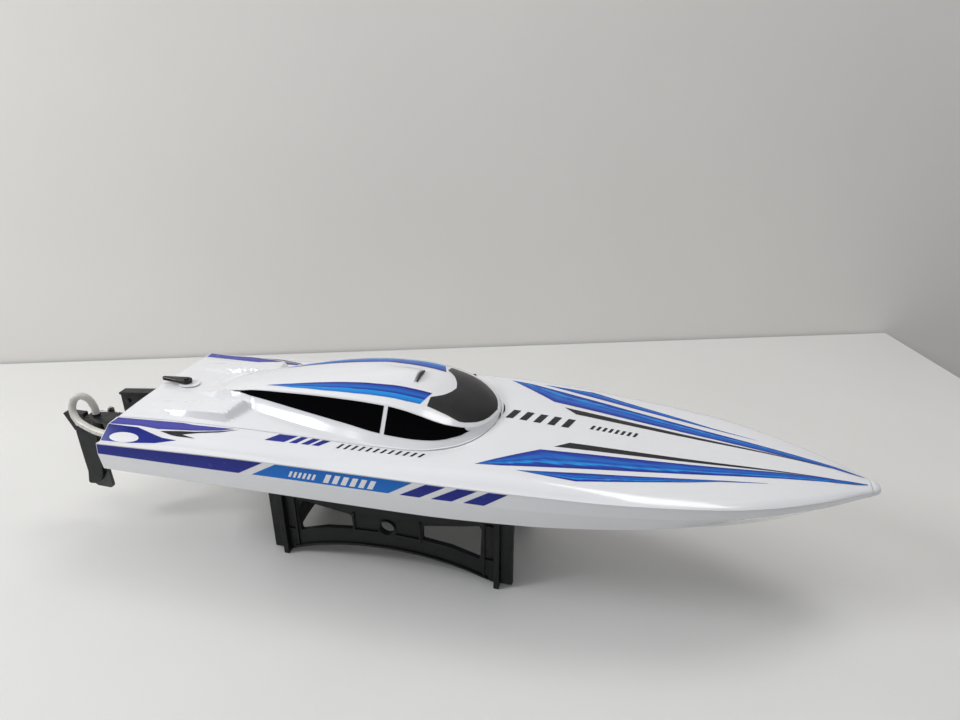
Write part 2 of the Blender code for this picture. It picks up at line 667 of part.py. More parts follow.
# ---------------------------------------------------------------- rudder and steering
def build_rudder():
    px, py = PIVOT
    side = [(-0.5, -9.5), (-3.2, -9.5), (-3.2, -12.0), (-47.0, -12.0), (-49.5, -12.6), (-49.5, -16.0),
            (-27.0, -16.0), (-27.0, -27.0), (-49.5, -27.0), (-49.5, -31.0), (-24.0, -31.0),
            (-3.2, -36.0), (-3.2, -41.0), (-0.5, -41.0)]

    def half_w(x):
        return 13.6 + (x + 0.5) * 4.6 / 23.5 if x > -24 else 9.0 + (x + 24) * 3.5 / 25.5

    def mid(x):
        return -50.4 + 0.4 * min(max(-x, 0.0), 27.0) / 27.0
    br = prism("rudder_bracket", side, 1, -1.0, 1.0, BLACK)
    for v in br.data.vertices:
        x = v.co.x * 1000 + MID_X
        s = 1 if v.co.y > 0 else -1
        v.co.y = (mid(x) + s * half_w(x)) * 0.001
    turned("pivot_pin", (px, py, -26.7), (0, 0, 1), [(0, 1.6), (10.4, 1.6)], STEEL, 16)
    head = turned("rudder_head", (px, py, -26.6), (0, 0, 1),
                  [(0, 2.0), (0, 6.2), (10.2, 6.2), (10.2, 2.0), (0, 2.0)], BLACK, 28)
    arm_side = [(-44.6, -26.4), (-44.6, -16.6), (-53.4, -16.6), (-53.4, -11.6), (-73.0, -11.6),
                (-STERN_REACH, -13.6), (-67.4, -31.0), (-53.4, -31.0), (-53.4, -26.4)]
    arm = prism("arm", arm_side, 1, py - 2.4, py + 4.0, BLACK)
    carve(head, [arm], "UNION")
    near = [(-67.2, -31.4), (-66.6, -60.0), (-65.9, -78.0), (-68.4, -90.0), (-67.4, -91.8), (-64.4, -91.8)]
    near += [(-64.4 + 16.4 * math.sin(a), -70.8 - 21.0 * math.cos(a)) for a in np.linspace(0.25, 1.55, 8)]
    near += [(-46.6, -50.0), (-44.4, -34.0), (-45.4, -31.4)]
    prism("rudder_cheek", near, 1, -52.2, -49.2, BLACK)
    far = [(-66.0, -31.4), (-65.0, -60.0), (-65.0, -92.0), (-64.4, -94.6), (-62.0, -96.2), (-47.4, -96.6),
           (-44.8, -95.2), (-43.8, -92.6), (-45.4, -60.0), (-45.4, -31.4)]
    prism("rudder_blade", far, 1, -48.8, -45.4, PROP)
    turned("rudder_screw", (-62.0, py - 2.7, -22.7), (0, -1, 0), [(0, 2.4), (1.0, 2.2), (1.5, 1.4)],
           STEEL, 16)
    prism("tiller_arm", [(-43, py + 6.6), (-37, py + 6.6), (-37.6, py + 21), (-38.8, py + 22),
                         (-41.2, py + 22), (-42.4, py + 21)], 2, -23.0, -20.2, BLACK)
    stop = turned("linkage_stopper", (px, py + TILLER_R, -19.9), (0, 0, 1),
                  [(0, 3.0), (5.2, 3.0)], BRASS, 20)
    carve(stop, [rod("bore", (-46, py + TILLER_R, ROD_Z + 0.3), (-34, py + TILLER_R, ROD_Z + 0.3),
                     1.15, BRASS, 14)])
    turned("stopper_screw", (px, py + TILLER_R, -14.4), (0, 0, 1), [(0, 1.7), (1.4, 1.7)], STEEL, 14)
    rod("rod_tail", (-53, py + TILLER_R, ROD_Z + 0.3), (-31.0, py + TILLER_R, ROD_Z + 0.3), 0.8, STEEL, 10)
    rod("push_rod", (-29.6, py + TILLER_R, ROD_Z), (60, py + TILLER_R, ROD_Z), 0.8, STEEL, 10)
    boot = [(-9.5, 1.2), (-9.5, 2.0), (-7.8, 2.3), (-7.2, 1.9), (-5.4, 2.7), (-4.8, 2.3), (-3.0, 3.1),
            (-2.4, 2.7), (-0.4, 3.4), (-0.4, 1.2), (-9.5, 1.2)]
    turned("rod_boot", (0, py + TILLER_R, ROD_Z), (1, 0, 0), boot, FOAM, 18)
    for i, y in enumerate((-41.0, -59.8)):
        turned("bracket_screw_%d" % (i + 1), (-3.5, y, -38.5), (-1, 0, 0),
               [(0, 2.3), (0.9, 2.1), (1.3, 1.4)], STEEL, 14)


TUBE_IN = (0.0, -72.0, -16.5)
OUTLET = (0.0, 62.0, -24.0)


def barb(name, base, direction, length, look, bore=1.3):
    prof = [(0, bore), (0, 3.6), (1.2, 3.6), (1.2, 1.9), (length - 3.2, 1.9), (length - 3.2, 2.4),
            (length, 1.8), (length, bore), (0, bore)]
    return turned(name, base, direction, prof, look, 18)


def build_cooling():
    px, py = PIVOT
    barb("inlet_barb", (px, py, -11.7), (0, 0, 1), 8.6, BRASS)
    barb("hull_barb", (-0.4, TUBE_IN[1], TUBE_IN[2]), (-1, 0, 0), 8.6, BRASS)
    barb("outlet_barb", (-0.4, OUTLET[1], OUTLET[2]), (-1, 0, 0), 9.5, BRASS)
    path = [(px, py, -10.2), (px - 0.3, py - 0.2, -3.0), (-42.8, -51.4, 5.0), (-48.2, -53.6, 9.0),
            (-53.8, -56.0, 6.6), (-56.4, -58.2, 0.0), (-54.2, -61.2, -6.8), (-47.0, -64.6, -11.8),
            (-36.0, -67.6, -14.6), (-24.0, -70.4, -16.0), (-12.0, TUBE_IN[1], TUBE_IN[2]),
            (-1.9, TUBE_IN[1], TUBE_IN[2])]
    hose("cooling_tube", path, 3.3, 2.6, SILICONE, 12, 3)


# ---------------------------------------------------------------- drive line
def shaft_at(x):
    return (x, 0.0, SHAFT_Z + SHAFT_SLOPE * x)


AXIS = Vector((1.0, 0.0, SHAFT_SLOPE)).normalized()


def along(x):
    """Distance along the shaft axis from x = 0."""
    return x * math.sqrt(1 + SHAFT_SLOPE ** 2)


def on_shaft(name, profile, look, n=24):
    prof = [(along(x), r) for x, r in profile]
    return turned(name, shaft_at(0), AXIS, prof, look, n)


def build_drive():
    plate = [(-3.0, -7.6), (-51.0, -13.0), (-53.0, -15.4), (-53.0, -38.0), (-34.0, -50.5), (-31.0, -57.0),
             (-31.0, -64.0), (-3.0, -64.0)]
    strut = prism("drive_strut", plate, 1, -2.6, 2.6, BLACK)
    top = [(-52.4, -12.2), (-52.4, -14.6), (-3.0, -9.2), (-3.0, -6.8)]
    flange = [(-11.5, -72.5), (11.5, -72.5), (14.0, -60.0), (14.0, -13.5), (-14.0, -13.5), (-14.0, -60.0)]
    tools = [prism("t1", top, 1, -5.0, 5.0, BLACK),
             prism("t2", flange, 0, -3.4, -0.5, BLACK),
             on_shaft("t3", [(-32.5, 7.0), (-1.0, 7.0)], BLACK, 28)]
    carve(strut, tools, "UNION")
    carve(strut, [on_shaft("t4", [(-40, 3.4), (10, 3.4)], BLACK, 28)])
    turned("strut_screw", (-45.0, -2.9, -22.0), (0, -1, 0), [(0, 2.6), (1.0, 2.3), (1.5, 1.4)], STEEL, 16)
    on_shaft("stuffing_tube", [(-35, 2.2), (-35, 3.0), (140, 3.0), (140, 2.2), (-35, 2.2)], BRASS, 20)
    on_shaft("drive_shaft", [(-58, 1.85), (145.6, 1.85)], STEEL, 14)
    on_shaft("drive_dog", [(-39.2, 2.2), (-39.2, 4.6), (-36.0, 4.6), (-36.0, 2.2), (-39.2, 2.2)], STEEL, 16)
    build_propeller()
    on_shaft("prop_nut", [(-57.4, 2.2), (-57.4, 3.2), (-56.4, 4.2), (-54.0, 4.2), (-54.0, 2.2),
                          (-57.4, 2.2)], STEEL, 6)
    on_shaft("coupler", [(146.0, 6.0), (147.0, 6.5), (154.5, 6.5), (155.2, 5.2), (157.0, 5.2), (157.7, 6.5),
                         (165.0, 6.5), (166.0, 6.0)], ALU_BLUE, 20)
    on_shaft("motor_shaft", [(166.4, 2.5), (179.6, 2.5)], STEEL, 14)
    on_shaft("motor_can", [(180.0, 6.0), (182.4, 6.0), (182.4, 16.6), (184.0, 18.0), (229.0, 18.0),
                           (231.0, 16.4), (233.0, 8.0)], BLACK, 32)
    jacket = on_shaft("water_jacket", [(192, 18.4), (192, 21.0), (220, 21.0), (220, 18.4), (192, 18.4)],
                      ALU_BLUE, 32)
    for x in (197.0, 215.0):
        p = Vector(shaft_at(x))
        nipple = rod("nipple", p + Vector((0, 0, 19.6)), p + Vector((0, 0, 28.0)), 2.0, ALU_BLUE, 14)
        carve(jacket, [nipple], "UNION")
    zc = shaft_at(177)[2]
    frame = [(-23, -66.4), (0, -76.8), (23, -66.4), (23, zc + 20), (-23, zc + 20)]
    prism("motor_mount", frame, 0, 175.6, 179.0, ALU_BLUE, [circle(0.0, zc, 6.6, 24)])


def build_propeller():
    hub = on_shaft("propeller", [(-53.6, 2.2), (-53.6, 5.0), (-50.0, 6.0), (-41.0, 6.0), (-39.6, 5.4),
                                 (-39.6, 2.2), (-53.6, 2.2)], PROP, 24)
    blades = []
    for k in range(3):
        a0 = 2 * math.pi * k / 3 + 0.4
        rows = []
        for r in (5.0, 8.0, 11.0, 14.0, 16.6, 18.4, 19.0):
            f = (r - 5.0) / 14.0
            chord = 11.0 + 6.0 * f - 12.0 * f ** 6
            pitch = math.atan(52.0 / (2 * math.pi * r))
            ring = []
            for c, t in ((-0.5, 0.35), (-0.2, 1.15), (0.2, 1.05), (0.5, 0.3)):
                ring.append((c, 0.5 * t * (1.15 - 0.4 * f)))
            loop = [(c, t) for c, t in ring] + [(c, -t) for c, t in reversed(ring)]
            pts = []
            for c, t in loop:
                s = c * chord
                ax = s * math.sin(pitch) + t * math.cos(pitch)
                tan = s * math.cos(pitch) - t * math.sin(pitch)
                ang = a0 + tan / r + 0.25 * f
                x = -46.6 + ax * 0.62
                o = Vector(shaft_at(x))
                pts.append((o.x, o.y + r * math.cos(ang), o.z + r * math.sin(ang)))
            rows.append(pts)
        blades.append(loft("blade%d" % k, rows, PROP))
    carve(hub, blades, "UNION")


# ---------------------------------------------------------------- inside
def build_inside():
    box("equipment_tray", (25, -59.5, -50.2), (136, 59.5, -48.2), PLY)
    box("servo_case", (48, -56.4, -47.8), (72, -43.6, -24.4), SERVO_CASE)
    rod("servo_spline", (HORN[0], HORN[1], -24.0), (HORN[0], HORN[1], -22.2), 3.0, STEEL, 16)
    hx, hy = HORN
    prism("servo_horn", [(hx - 4, hy - 4), (hx + 4, hy - 4), (hx + 4, hy + 4), (hx + 2.2, hy + 20.5),
                         (hx - 2.2, hy + 20.5), (hx - 4, hy + 4)], 2, -21.8, -19.6, WHITE_TRIM)
    box("receiver", (86, -42, -47.8), (124, -18, -36.0), CASE)
    esc = box("esc", (72, 14, -47.8), (126, 48, -33.0), CASE)
    fins = [box("fin", (76, 17.0 + 4.0 * i, -33.6), (122, 18.4 + 4.0 * i, -27.0), CASE) for i in range(8)]
    carve(esc, fins, "UNION")
    box("battery_tray", (236, -35.0, -60.9), (336, 35.0, -59.1), PLY)
    body = prism("battery", [(-17.9, -57.0), (-16.9, -57.9), (16.9, -57.9), (17.9, -57.0), (17.9, -34.8),
                             (16.9, -33.8), (-16.9, -33.8), (-17.9, -34.8)], 0, 240, 332, WRAP)
    prism("battery_strap", [(-19.6, -58.9), (19.6, -58.9), (19.6, -32.2), (-19.6, -32.2)], 0, 274, 294,
          STRAP, [[(-18.3, -58.2), (18.3, -58.2), (18.3, -33.4), (-18.3, -33.4)]])
    zj = shaft_at(197)[2] + 24.6
    zk = shaft_at(215)[2] + 24.6
    hose("water_in", [(2.4, TUBE_IN[1], TUBE_IN[2]), (22, -71, -18), (60, -66, -21), (120, -50, -17),
                      (165, -26, -15), (188, -8, -14.5), (196.0, -1.0, -17.6), (197, 0, zj)],
         3.3, 2.6, SILICONE, 10, 3)
    hose("water_out", [(2.4, OUTLET[1], OUTLET[2]), (22, 61, -24), (60, 57, -22), (120, 44, -17),
                       (175, 24, -15), (205, 8, -14), (213.6, 1.2, -16.4), (215, 0, zk)],
         3.3, 2.6, SILICONE, 10, 3)


# ---------------------------------------------------------------- stand
def build_stand():
    def hull_line(y):
        return KEEL + abs(y) * 0.457 - 1.7
    zg = GROUND
    for name, x in (("cradle_aft", CRADLE_X[0]), ("cradle_fore", CRADLE_X[1])):
        s0, s1 = PANEL_Y - 2.8, PANEL_Y + 2.8
        half = [(0.0, hull_line(0)), (s0, hull_line(s0)), (s0, -98.3), (s1, -98.3),
                (s1, hull_line(s1) - 0.4), (54.0, hull_line(54)), (55.0, -60.0), (55.0, zg), (43.0, zg),
                (42.0, zg + 2.0)]
        arch = [(39.0 * math.cos(a), zg + 4.0 + 11.0 * math.sin(a))
                for a in np.linspace(0.0, 0.5 * math.pi, 9)]
        half += arch
        outline = half + [(-y, z) for y, z in reversed(half[1:-1])]
        tri = [(9.0, -92.0), (35.0, -80.0), (35.0, -99.0), (24.0, -101.5), (11.0, -100.0)]
        holes = [tri, [(-y, z) for y, z in reversed(tri)]]
        prism(name, outline, 0, x - 0.5 * PLATE, x + 0.5 * PLATE, STAND_BLACK, holes)
    for name, y in (("panel_starboard", -PANEL_Y), ("panel_port", PANEL_Y)):
        half = [(0.0, -115.5)]
        half += [(24, -116.6), (48, -119.8), (70, -124.4), (86, -129.0), (95.5, -132.4), (97.5, -133.2)]
        sl = CRADLE_X[1] - STAND_MID
        half += [(sl - 2.8, -133.2), (sl - 2.8, -98.0), (sl + 2.8, -98.0), (sl + 2.8, -133.2),
                 (116.0, -133.2), (116.0, -64.0), (114.6, -62.4), (0.0, -62.4)]
        outline = [(STAND_MID + d, z) for d, z in half]
        outline += [(STAND_MID - d, z) for d, z in reversed(half[1:-1])]
        win = [(34.5, -98.4), (60, -101.6), (85.5, -109.4), (86.6, -107.8), (88.0, -78.0), (86.0, -74.0),
               (64, -78.0), (36.0, -82.6), (34.0, -84.4), (33.6, -96.8)]
        right = [(STAND_MID + d, z) for d, z in win]
        left = [(STAND_MID - d, z) for d, z in reversed(win)]
        holes = [right, left, circle(STAND_MID, -91.0, 7.0, 28)]
        prism(name, outline, 1, y - 0.5 * PLATE, y + 0.5 * PLATE, STAND_BLACK, holes)


def main():
    for obj in list(bpy.data.objects):
        bpy.data.objects.remove(obj)
    build_hull()
    build_deck()
    build_hatch()
    build_transom_cap()
    strip("coaming", -8.0, 5.0, -3.4, -5.0, WHITE_TRIM)
    strip("hatch_seal", -5.4, -1.6, -3.1, -2.3, FOAM, 4.0)
    build_bow_cap()
    build_latch()
    build_intake()
    build_rudder()
    build_cooling()
    build_drive()
    build_inside()
    build_stand()
    for obj in bpy.data.objects:
        if obj.type == "MESH":
            shade_smooth(obj)


main()
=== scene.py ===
"""Looks of the racing boat on its stand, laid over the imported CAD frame.

Boat frame used while drawing (millimetres): x = 0 at the transom, +x to the bow,
y = 0 on the centreline, +y to port, z = 0 at the stern corner of the deck.
"""
import math

import bmesh
import bpy
import numpy as np
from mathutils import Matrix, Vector
from mathutils.geometry import tessellate_polygon


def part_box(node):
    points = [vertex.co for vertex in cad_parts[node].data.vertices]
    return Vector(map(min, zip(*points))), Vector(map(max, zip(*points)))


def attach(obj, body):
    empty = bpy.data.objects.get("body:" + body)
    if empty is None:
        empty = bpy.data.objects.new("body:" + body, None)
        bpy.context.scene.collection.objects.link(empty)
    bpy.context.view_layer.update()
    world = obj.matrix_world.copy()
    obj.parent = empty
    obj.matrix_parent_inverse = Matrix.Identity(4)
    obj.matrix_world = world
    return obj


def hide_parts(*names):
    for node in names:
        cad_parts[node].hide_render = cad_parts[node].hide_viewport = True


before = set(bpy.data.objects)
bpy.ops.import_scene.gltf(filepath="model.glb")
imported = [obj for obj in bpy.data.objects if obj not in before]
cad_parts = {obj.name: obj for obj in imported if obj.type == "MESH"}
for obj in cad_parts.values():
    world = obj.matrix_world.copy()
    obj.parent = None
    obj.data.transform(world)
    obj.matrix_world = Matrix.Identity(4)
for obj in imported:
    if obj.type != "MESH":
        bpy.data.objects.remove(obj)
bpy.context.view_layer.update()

# ---------------------------------------------------------------- places, from the frame
HULL_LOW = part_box("hull_lower")[0]
TRANSOM = HULL_LOW.x                      # boat x = 0, in metres
KEEL = -80.0                              # keel below the stern deck corner, mm
DECK_LEVEL = HULL_LOW.z - KEEL * 0.001    # boat z = 0, in metres
NOSE_JOINT = 641.0                        # hull and deck end here, under the bow cap
BOW_TIP = 650.0
HATCH_GAP = 0.4                           # each side of the hatch seam
SHELL = 2.0                               # wall of the mouldings
ROOF_CROWN = 2.6                          # power of the roof's cross section
RIM = 0.7                                 # thickness of the deck edge seen above the hull side
PANEL_Y = 47.5                            # stand panel's middle plane
PLATE = 5.0                               # stand panel's thickness
STAND_MID = 246.3                         # stand's middle along the boat
TUBE_RADIUS = 3.3
TUBE_BORE = 2.6


def put(p):
    """Boat millimetres to the frame's metres."""
    return Vector((TRANSOM + p[0] * 0.001, p[1] * 0.001, DECK_LEVEL + p[2] * 0.001))


# ---------------------------------------------------------------- small maths
def curve(*pairs):
    """Monotone cubic through (x, value) pairs, flat outside them."""
    xs = np.array([p[0] for p in pairs], float)
    ys = np.array([p[1] for p in pairs], float)
    h = np.diff(xs)
    d = np.diff(ys) / h
    m = np.zeros(len(xs))
    for i in range(1, len(xs) - 1):
        if d[i - 1] * d[i] > 0.0:
            w1 = 2 * h[i] + h[i - 1]
            w2 = h[i] + 2 * h[i - 1]
            m[i] = (w1 + w2) / (w1 / d[i - 1] + w2 / d[i])
    m[0] = d[0]
    m[-1] = d[-1]

    def value(x):
        x = min(max(float(x), xs[0]), xs[-1])
        i = int(min(max(np.searchsorted(xs, x) - 1, 0), len(h) - 1))
        t = (x - xs[i]) / h[i]
        a = (1 + 2 * t) * (1 - t) ** 2
        b = t * (1 - t) ** 2
        c = t * t * (3 - 2 * t)
        e = t * t * (t - 1)
        return float(a * ys[i] + b * h[i] * m[i] + c * ys[i + 1] + e * h[i] * m[i + 1])
    return value


def smooth(t):
    t = min(max(t, 0.0), 1.0)
    return t * t * (3 - 2 * t)


# ---------------------------------------------------------------- hull lines
beam = curve((0, 97.2), (160, 97.6), (300, 97.4), (365, 95.6), (414, 92.2), (448, 88.2), (500, 79.0),
             (530, 71.5), (565, 57.5), (600, 38.8), (620, 25.5), (635, 14.5), (645, 8.0), (650, 4.0))
rail_z = curve((0, -9.2), (161, -3.7), (300, -2.5), (365, -2.6), (448, -4.3), (530, -6.5), (565, -8.3),
               (601, -10.4), (620, -12.0), (635, -13.5), (650, -14.8))
knuckle_out = curve((0, 1.0), (285, 0.5), (448, 0.1), (563, -0.6), (650, -0.8))
knuckle_z = curve((0, -19.2), (285, -17.8), (365, -16.4), (448, -15.4), (530, -15.0), (563, -15.4),
                  (620, -17.6), (650, -19.4))
chine_y = curve((0, 95.6), (285, 94.6), (368, 91.0), (448, 80.8), (498, 68.8), (557, 46.5), (603, 25.5),
                (625, 14.5), (645, 5.0), (650, 2.5))
chine_z = curve((0, -36.3), (285, -36.0), (368, -34.8), (448, -32.4), (498, -30.0), (557, -26.4),
                (603, -23.2), (630, -21.6), (650, -20.6))
keel_z = curve((0, KEEL), (470, KEEL), (519, -77.5), (552, -69.0), (582, -57.5), (604, -46.0),
               (624, -34.2), (641, -24.4), (650, -20.9))

# deck
crease_y = curve((0, 79), (60, 78), (115, 77), (190, 77), (290, 78.5), (335, 80), (414, 79.5), (448, 75),
                 (500, 66), (530, 59.5), (565, 48.5), (600, 31.5), (620, 20.5), (635, 11.2), (645, 6.0),
                 (650, 3))
crease_z = curve((0, 0), (60, 1.2), (115, 2.3), (190, 3.8), (290, 6.4), (335, 7.0), (414, 3.2), (448, 0.9),
                 (500, -1.8), (530, -3.4), (565, -5.3), (600, -7.8), (620, -9.8), (635, -11.9),
                 (650, -13.6))
foot_y = curve((0, 92.4), (60, 93.2), (190, 95.0), (300, 95.4), (365, 93.8), (448, 86.4), (500, 77.2),
               (530, 69.8), (565, 56.0), (600, 37.6), (620, 24.6), (635, 13.7), (650, 3.7))
foot_z = curve((0, -9.8), (60, -6.6), (190, -2.2), (300, -1.2), (365, -1.4), (448, -3.2), (530, -5.6),
               (565, -7.5), (601, -9.6), (620, -11.2), (650, -14.2))
middle_z = curve((0, 3.0), (60, 4.6), (190, 8.3), (287, 9.4), (339, 9.6), (381, 7.4), (420, 5.0),
                 (450, 2.9), (500, -0.4), (558, -3.4), (600, -6.4), (620, -8.4), (642, -11.3), (650, -12.4))
shoulder_k = curve((0, 0.0), (60, 0.1), (160, 0.7), (330, 0.8), (450, 0.7), (650, 0.5))

# hatch
hatch_half = curve((0, 66.5), (60, 63.6), (120, 64.0), (190, 66.0), (243, 68.8), (268, 69.0), (287, 67.2),
                   (300, 63.2), (314, 55.8), (322, 48.2), (329, 38.0), (334.5, 24.0), (337.6, 12.0),
                   (339, 0.0))
apex_z = curve((44, 4.0), (84, 14.8), (125, 24.7), (151, 29.8), (183, 35.3), (208, 38.8), (232, 41.0),
               (249, 40.9), (266, 39.6), (284, 36.9), (299, 32.3), (310, 27.8), (320, 23.3), (330, 18.8),
               (336, 16.0), (339, 13.5))
roof_y = curve((44, 6), (84, 17), (125, 25.5), (151, 32.0), (183, 38.4), (208, 42.0), (232, 44.4),
               (249, 45.9), (266, 47.6), (280, 48.6), (292, 49.0), (301, 48.4), (307, 46.8), (312, 44.4),
               (321, 39.0), (325.5, 34.4), (330, 27.6), (334, 18.6), (337, 9.0), (339, 1.0))
roof_z = curve((44, 4.0), (84, 13.8), (125, 22.4), (151, 27.0), (183, 31.4), (208, 33.4), (232, 34.2),
               (249, 33.9), (266, 32.5), (280, 29.8), (292, 26.5), (301, 23.9), (312, 20.2), (321, 17.2),
               (325.5, 15.9), (330, 15.1), (336, 14.4), (339, 13.2))
sill_y = curve((44, 10), (84, 19), (130, 31), (174, 43), (215, 53), (250, 60.6), (275, 61.8), (293, 59.6),
               (310, 51.4), (322, 40.4), (330, 29.2), (336, 13.8), (339, 1.6))
sill_z = curve((44, 4.4), (84, 13.6), (130, 14.4), (174, 14.4), (215, 13.9), (250, 13.0), (293, 12.2),
               (315, 12.4), (330, 13.0), (339, 12.2))
flank_y = curve((44, 14), (84, 25), (130, 38), (174, 50.0), (215, 59.0), (250, 66.0), (275, 67.0),
                (293, 64.0), (310, 56.0), (322, 45.4), (330, 33.5), (336, 17.0), (339, 2.4))


def deck_z(x, y):
    """Top surface of the deck moulding, also the base surface of the hatch."""
    y = abs(y)
    yc, zc = crease_y(x), crease_z(x)
    yf, zf = foot_y(x), foot_z(x)
    if y <= yc:
        return zc + (middle_z(x) - zc) * (1.0 - (y / max(yc, 1e-6)) ** 2)
    if y <= yf:
        t = (y - yc) / max(yf - yc, 1e-6)
        k = shoulder_k(x)
        return zc + (zf - zc) * ((1 - k) * t + k * t * t)
    t = min((y - yf) / max(beam(x) - yf, 1e-6), 1.0)
    return zf + (rail_z(x) - zf) * t


def blister(x, y):
    """Wedge-shaped raised pad each side of the engine cover, with a slanted front face."""
    away = abs(y)
    front = 116.5 - 0.3 * (away - 33.0)
    if x <= 18.0 or x >= front:
        return 0.0
    rise = min((x - 18.0) / 88.0, 1.0)
    nose = smooth((front - x) / 9.0)
    half = 8.0 + 5.0 * (x - 18.0) / 102.0
    across = smooth((half + 2.0 - abs(away - 44.0)) / 3.2)
    return 8.5 * rise * nose * across


def scoop(x, y):
    """Raised intake on the roof, open towards the bow."""
    if x < 212.0 or x > 266.0:
        return 0.0
    along = smooth((x - 212.0) / 50.0)
    front = smooth((266.0 - x) / 1.5)
    return 3.8 * along * front * math.cos(math.pi * min(abs(y) / 27.0, 0.5)) ** 0.8


def hatch_z(x, y):
    """Top surface of the hatch with the moulded canopy."""
    y = abs(y)
    base = deck_z(x, y)
    if x < 44.0:
        return base + blister(x, y)
    yr, ys, yf = roof_y(x), sill_y(x), flank_y(x)
    zs, zr, za = sill_z(x), roof_z(x), apex_z(x)
    lift = smooth((x - 44.0) / 34.0)
    zb = deck_z(x, yf)
    if y >= yf:
        return base + blister(x, y)
    if y >= ys:
        z = zb + (zs - zb) * (yf - y) / max(yf - ys, 1e-6)
    elif y >= yr:
        z = zs + (zr - zs) * (ys - y) / max(ys - yr, 1e-6)
    else:
        z = zr + (za - zr) * (1.0 - (y / max(yr, 1e-6)) ** ROOF_CROWN)
    z = base + (max(z, base) - base) * lift
    return z + scoop(x, y) + blister(x, y)


def side_y(x, z):
    """Half breadth of the hull side at a height, from the chine up to the deck."""
    yc, zc = chine_y(x), chine_z(x)
    yk, zk = beam(x) + knuckle_out(x), knuckle_z(x)
    yr, zr = beam(x), rail_z(x) - RIM
    if z < zk:
        return yc + (yk - yc) * (z - zc) / (zk - zc)
    return yk + (yr - yk) * (z - zk) / (zr - zk)


# ---------------------------------------------------------------- meshes
def linked(name, data):
    obj = bpy.data.objects.new(name, data)
    bpy.context.scene.collection.objects.link(obj)
    return obj


def finish_mesh(name, bm, look, body, angle=0.6):
    bmesh.ops.recalc_face_normals(bm, faces=bm.faces)
    for face in bm.faces:
        face.smooth = True
    for edge in bm.edges:
        edge.smooth = len(edge.link_faces) == 2 and edge.calc_face_angle(0.0) < angle
    mesh = bpy.data.meshes.new(name)
    bm.to_mesh(mesh)
    bm.free()
    obj = linked(name, mesh)
    mesh.materials.append(look)
    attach(obj, body)
    return obj


def make(name, verts, faces, look, body, angle=0.6):
    """Piece from boat-frame vertices; coincident vertices are merged."""
    mesh = bpy.data.meshes.new("draft")
    mesh.from_pydata([put(v) for v in verts], [], [list(f) for f in faces])
    bm = bmesh.new()
    bm.from_mesh(mesh)
    bpy.data.meshes.remove(mesh)
    bmesh.ops.remove_doubles(bm, verts=bm.verts, dist=1e-7)
    bmesh.ops.dissolve_degenerate(bm, edges=bm.edges, dist=1e-8)
    return finish_mesh(name, bm, look, body, angle)


def grid_faces(rows, cols):
    return [(r * cols + c, r * cols + c + 1, (r + 1) * cols + c + 1, (r + 1) * cols + c)
            for r in range(rows - 1) for c in range(cols - 1)]


def ring_faces(count, n, closed=False):
    """Quads between rings of n points, the last ring joined to the first when closed."""
    return [(r * n + c, r * n + (c + 1) % n, (r + 1) % count * n + (c + 1) % n, (r + 1) % count * n + c)
            for r in range(count if closed else count - 1) for c in range(n)]


def slab(name, outer, inner, faces, look, body, angle=0.6):
    """Sheet with thickness: two matching vertex lists, walls round every open edge."""
    n = len(outer)
    out = [tuple(f) for f in faces]
    back = [tuple(n + i for i in reversed(f)) for f in faces]
    edges = {(a, b) for f in faces for a, b in zip(f, f[1:] + f[:1])}
    walls = [(b, a, n + a, n + b) for a, b in edges if (b, a) not in edges]
    return make(name, list(outer) + list(inner), out + back + walls, look, body, angle)


def between(a, b, t):
    return tuple(p + (q - p) * t for p, q in zip(a, b))


def span(a, b, step):
    """Values from a to b, about one step apart."""
    return [float(v) for v in np.linspace(a, b, max(int(abs(b - a) / step + 0.5), 1) + 1)]


def bevelled(obj, width, segments=2, angle=35.0):
    """Rounds the piece's sharp edges; width in millimetres."""
    mod = obj.modifiers.new("bevel", "BEVEL")
    mod.width = width * 0.001
    mod.segments = segments
    mod.limit_method = "ANGLE"
    mod.angle_limit = math.radians(angle)
    mod.harden_normals = True
    return obj


def refined(node, body, look, width, segments=2):
    """Copy of a CAD node with rounded edges, standing in for it."""
    bm = bmesh.new()
    bm.from_mesh(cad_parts[node].data)
    bmesh.ops.remove_doubles(bm, verts=bm.verts, dist=1e-6)
    bmesh.ops.dissolve_limit(bm, angle_limit=0.01, verts=bm.verts, edges=bm.edges)
    obj = finish_mesh(node + "_fine", bm, look, body)
    bevelled(obj, width, segments)
    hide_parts(node)
    return obj


# ---------------------------------------------------------------- films laid on the surfaces
def at_fraction(line, t):
    """Point of a polyline at a share of its length."""
    pts = [np.array(p, float) for p in line]
    steps = [np.linalg.norm(b - a) for a, b in zip(pts, pts[1:])]
    left = t * sum(steps)
    for a, b, step in zip(pts, pts[1:], steps):
        if left <= step + 1e-9:
            return a + (b - a) * (left / max(step, 1e-9))
        left -= step
    return pts[-1]


def fractions(line):
    steps = [math.dist(a, b) for a, b in zip(line, line[1:])]
    return [0.0] + [sum(steps[:i + 1]) / sum(steps) for i in range(len(steps))]


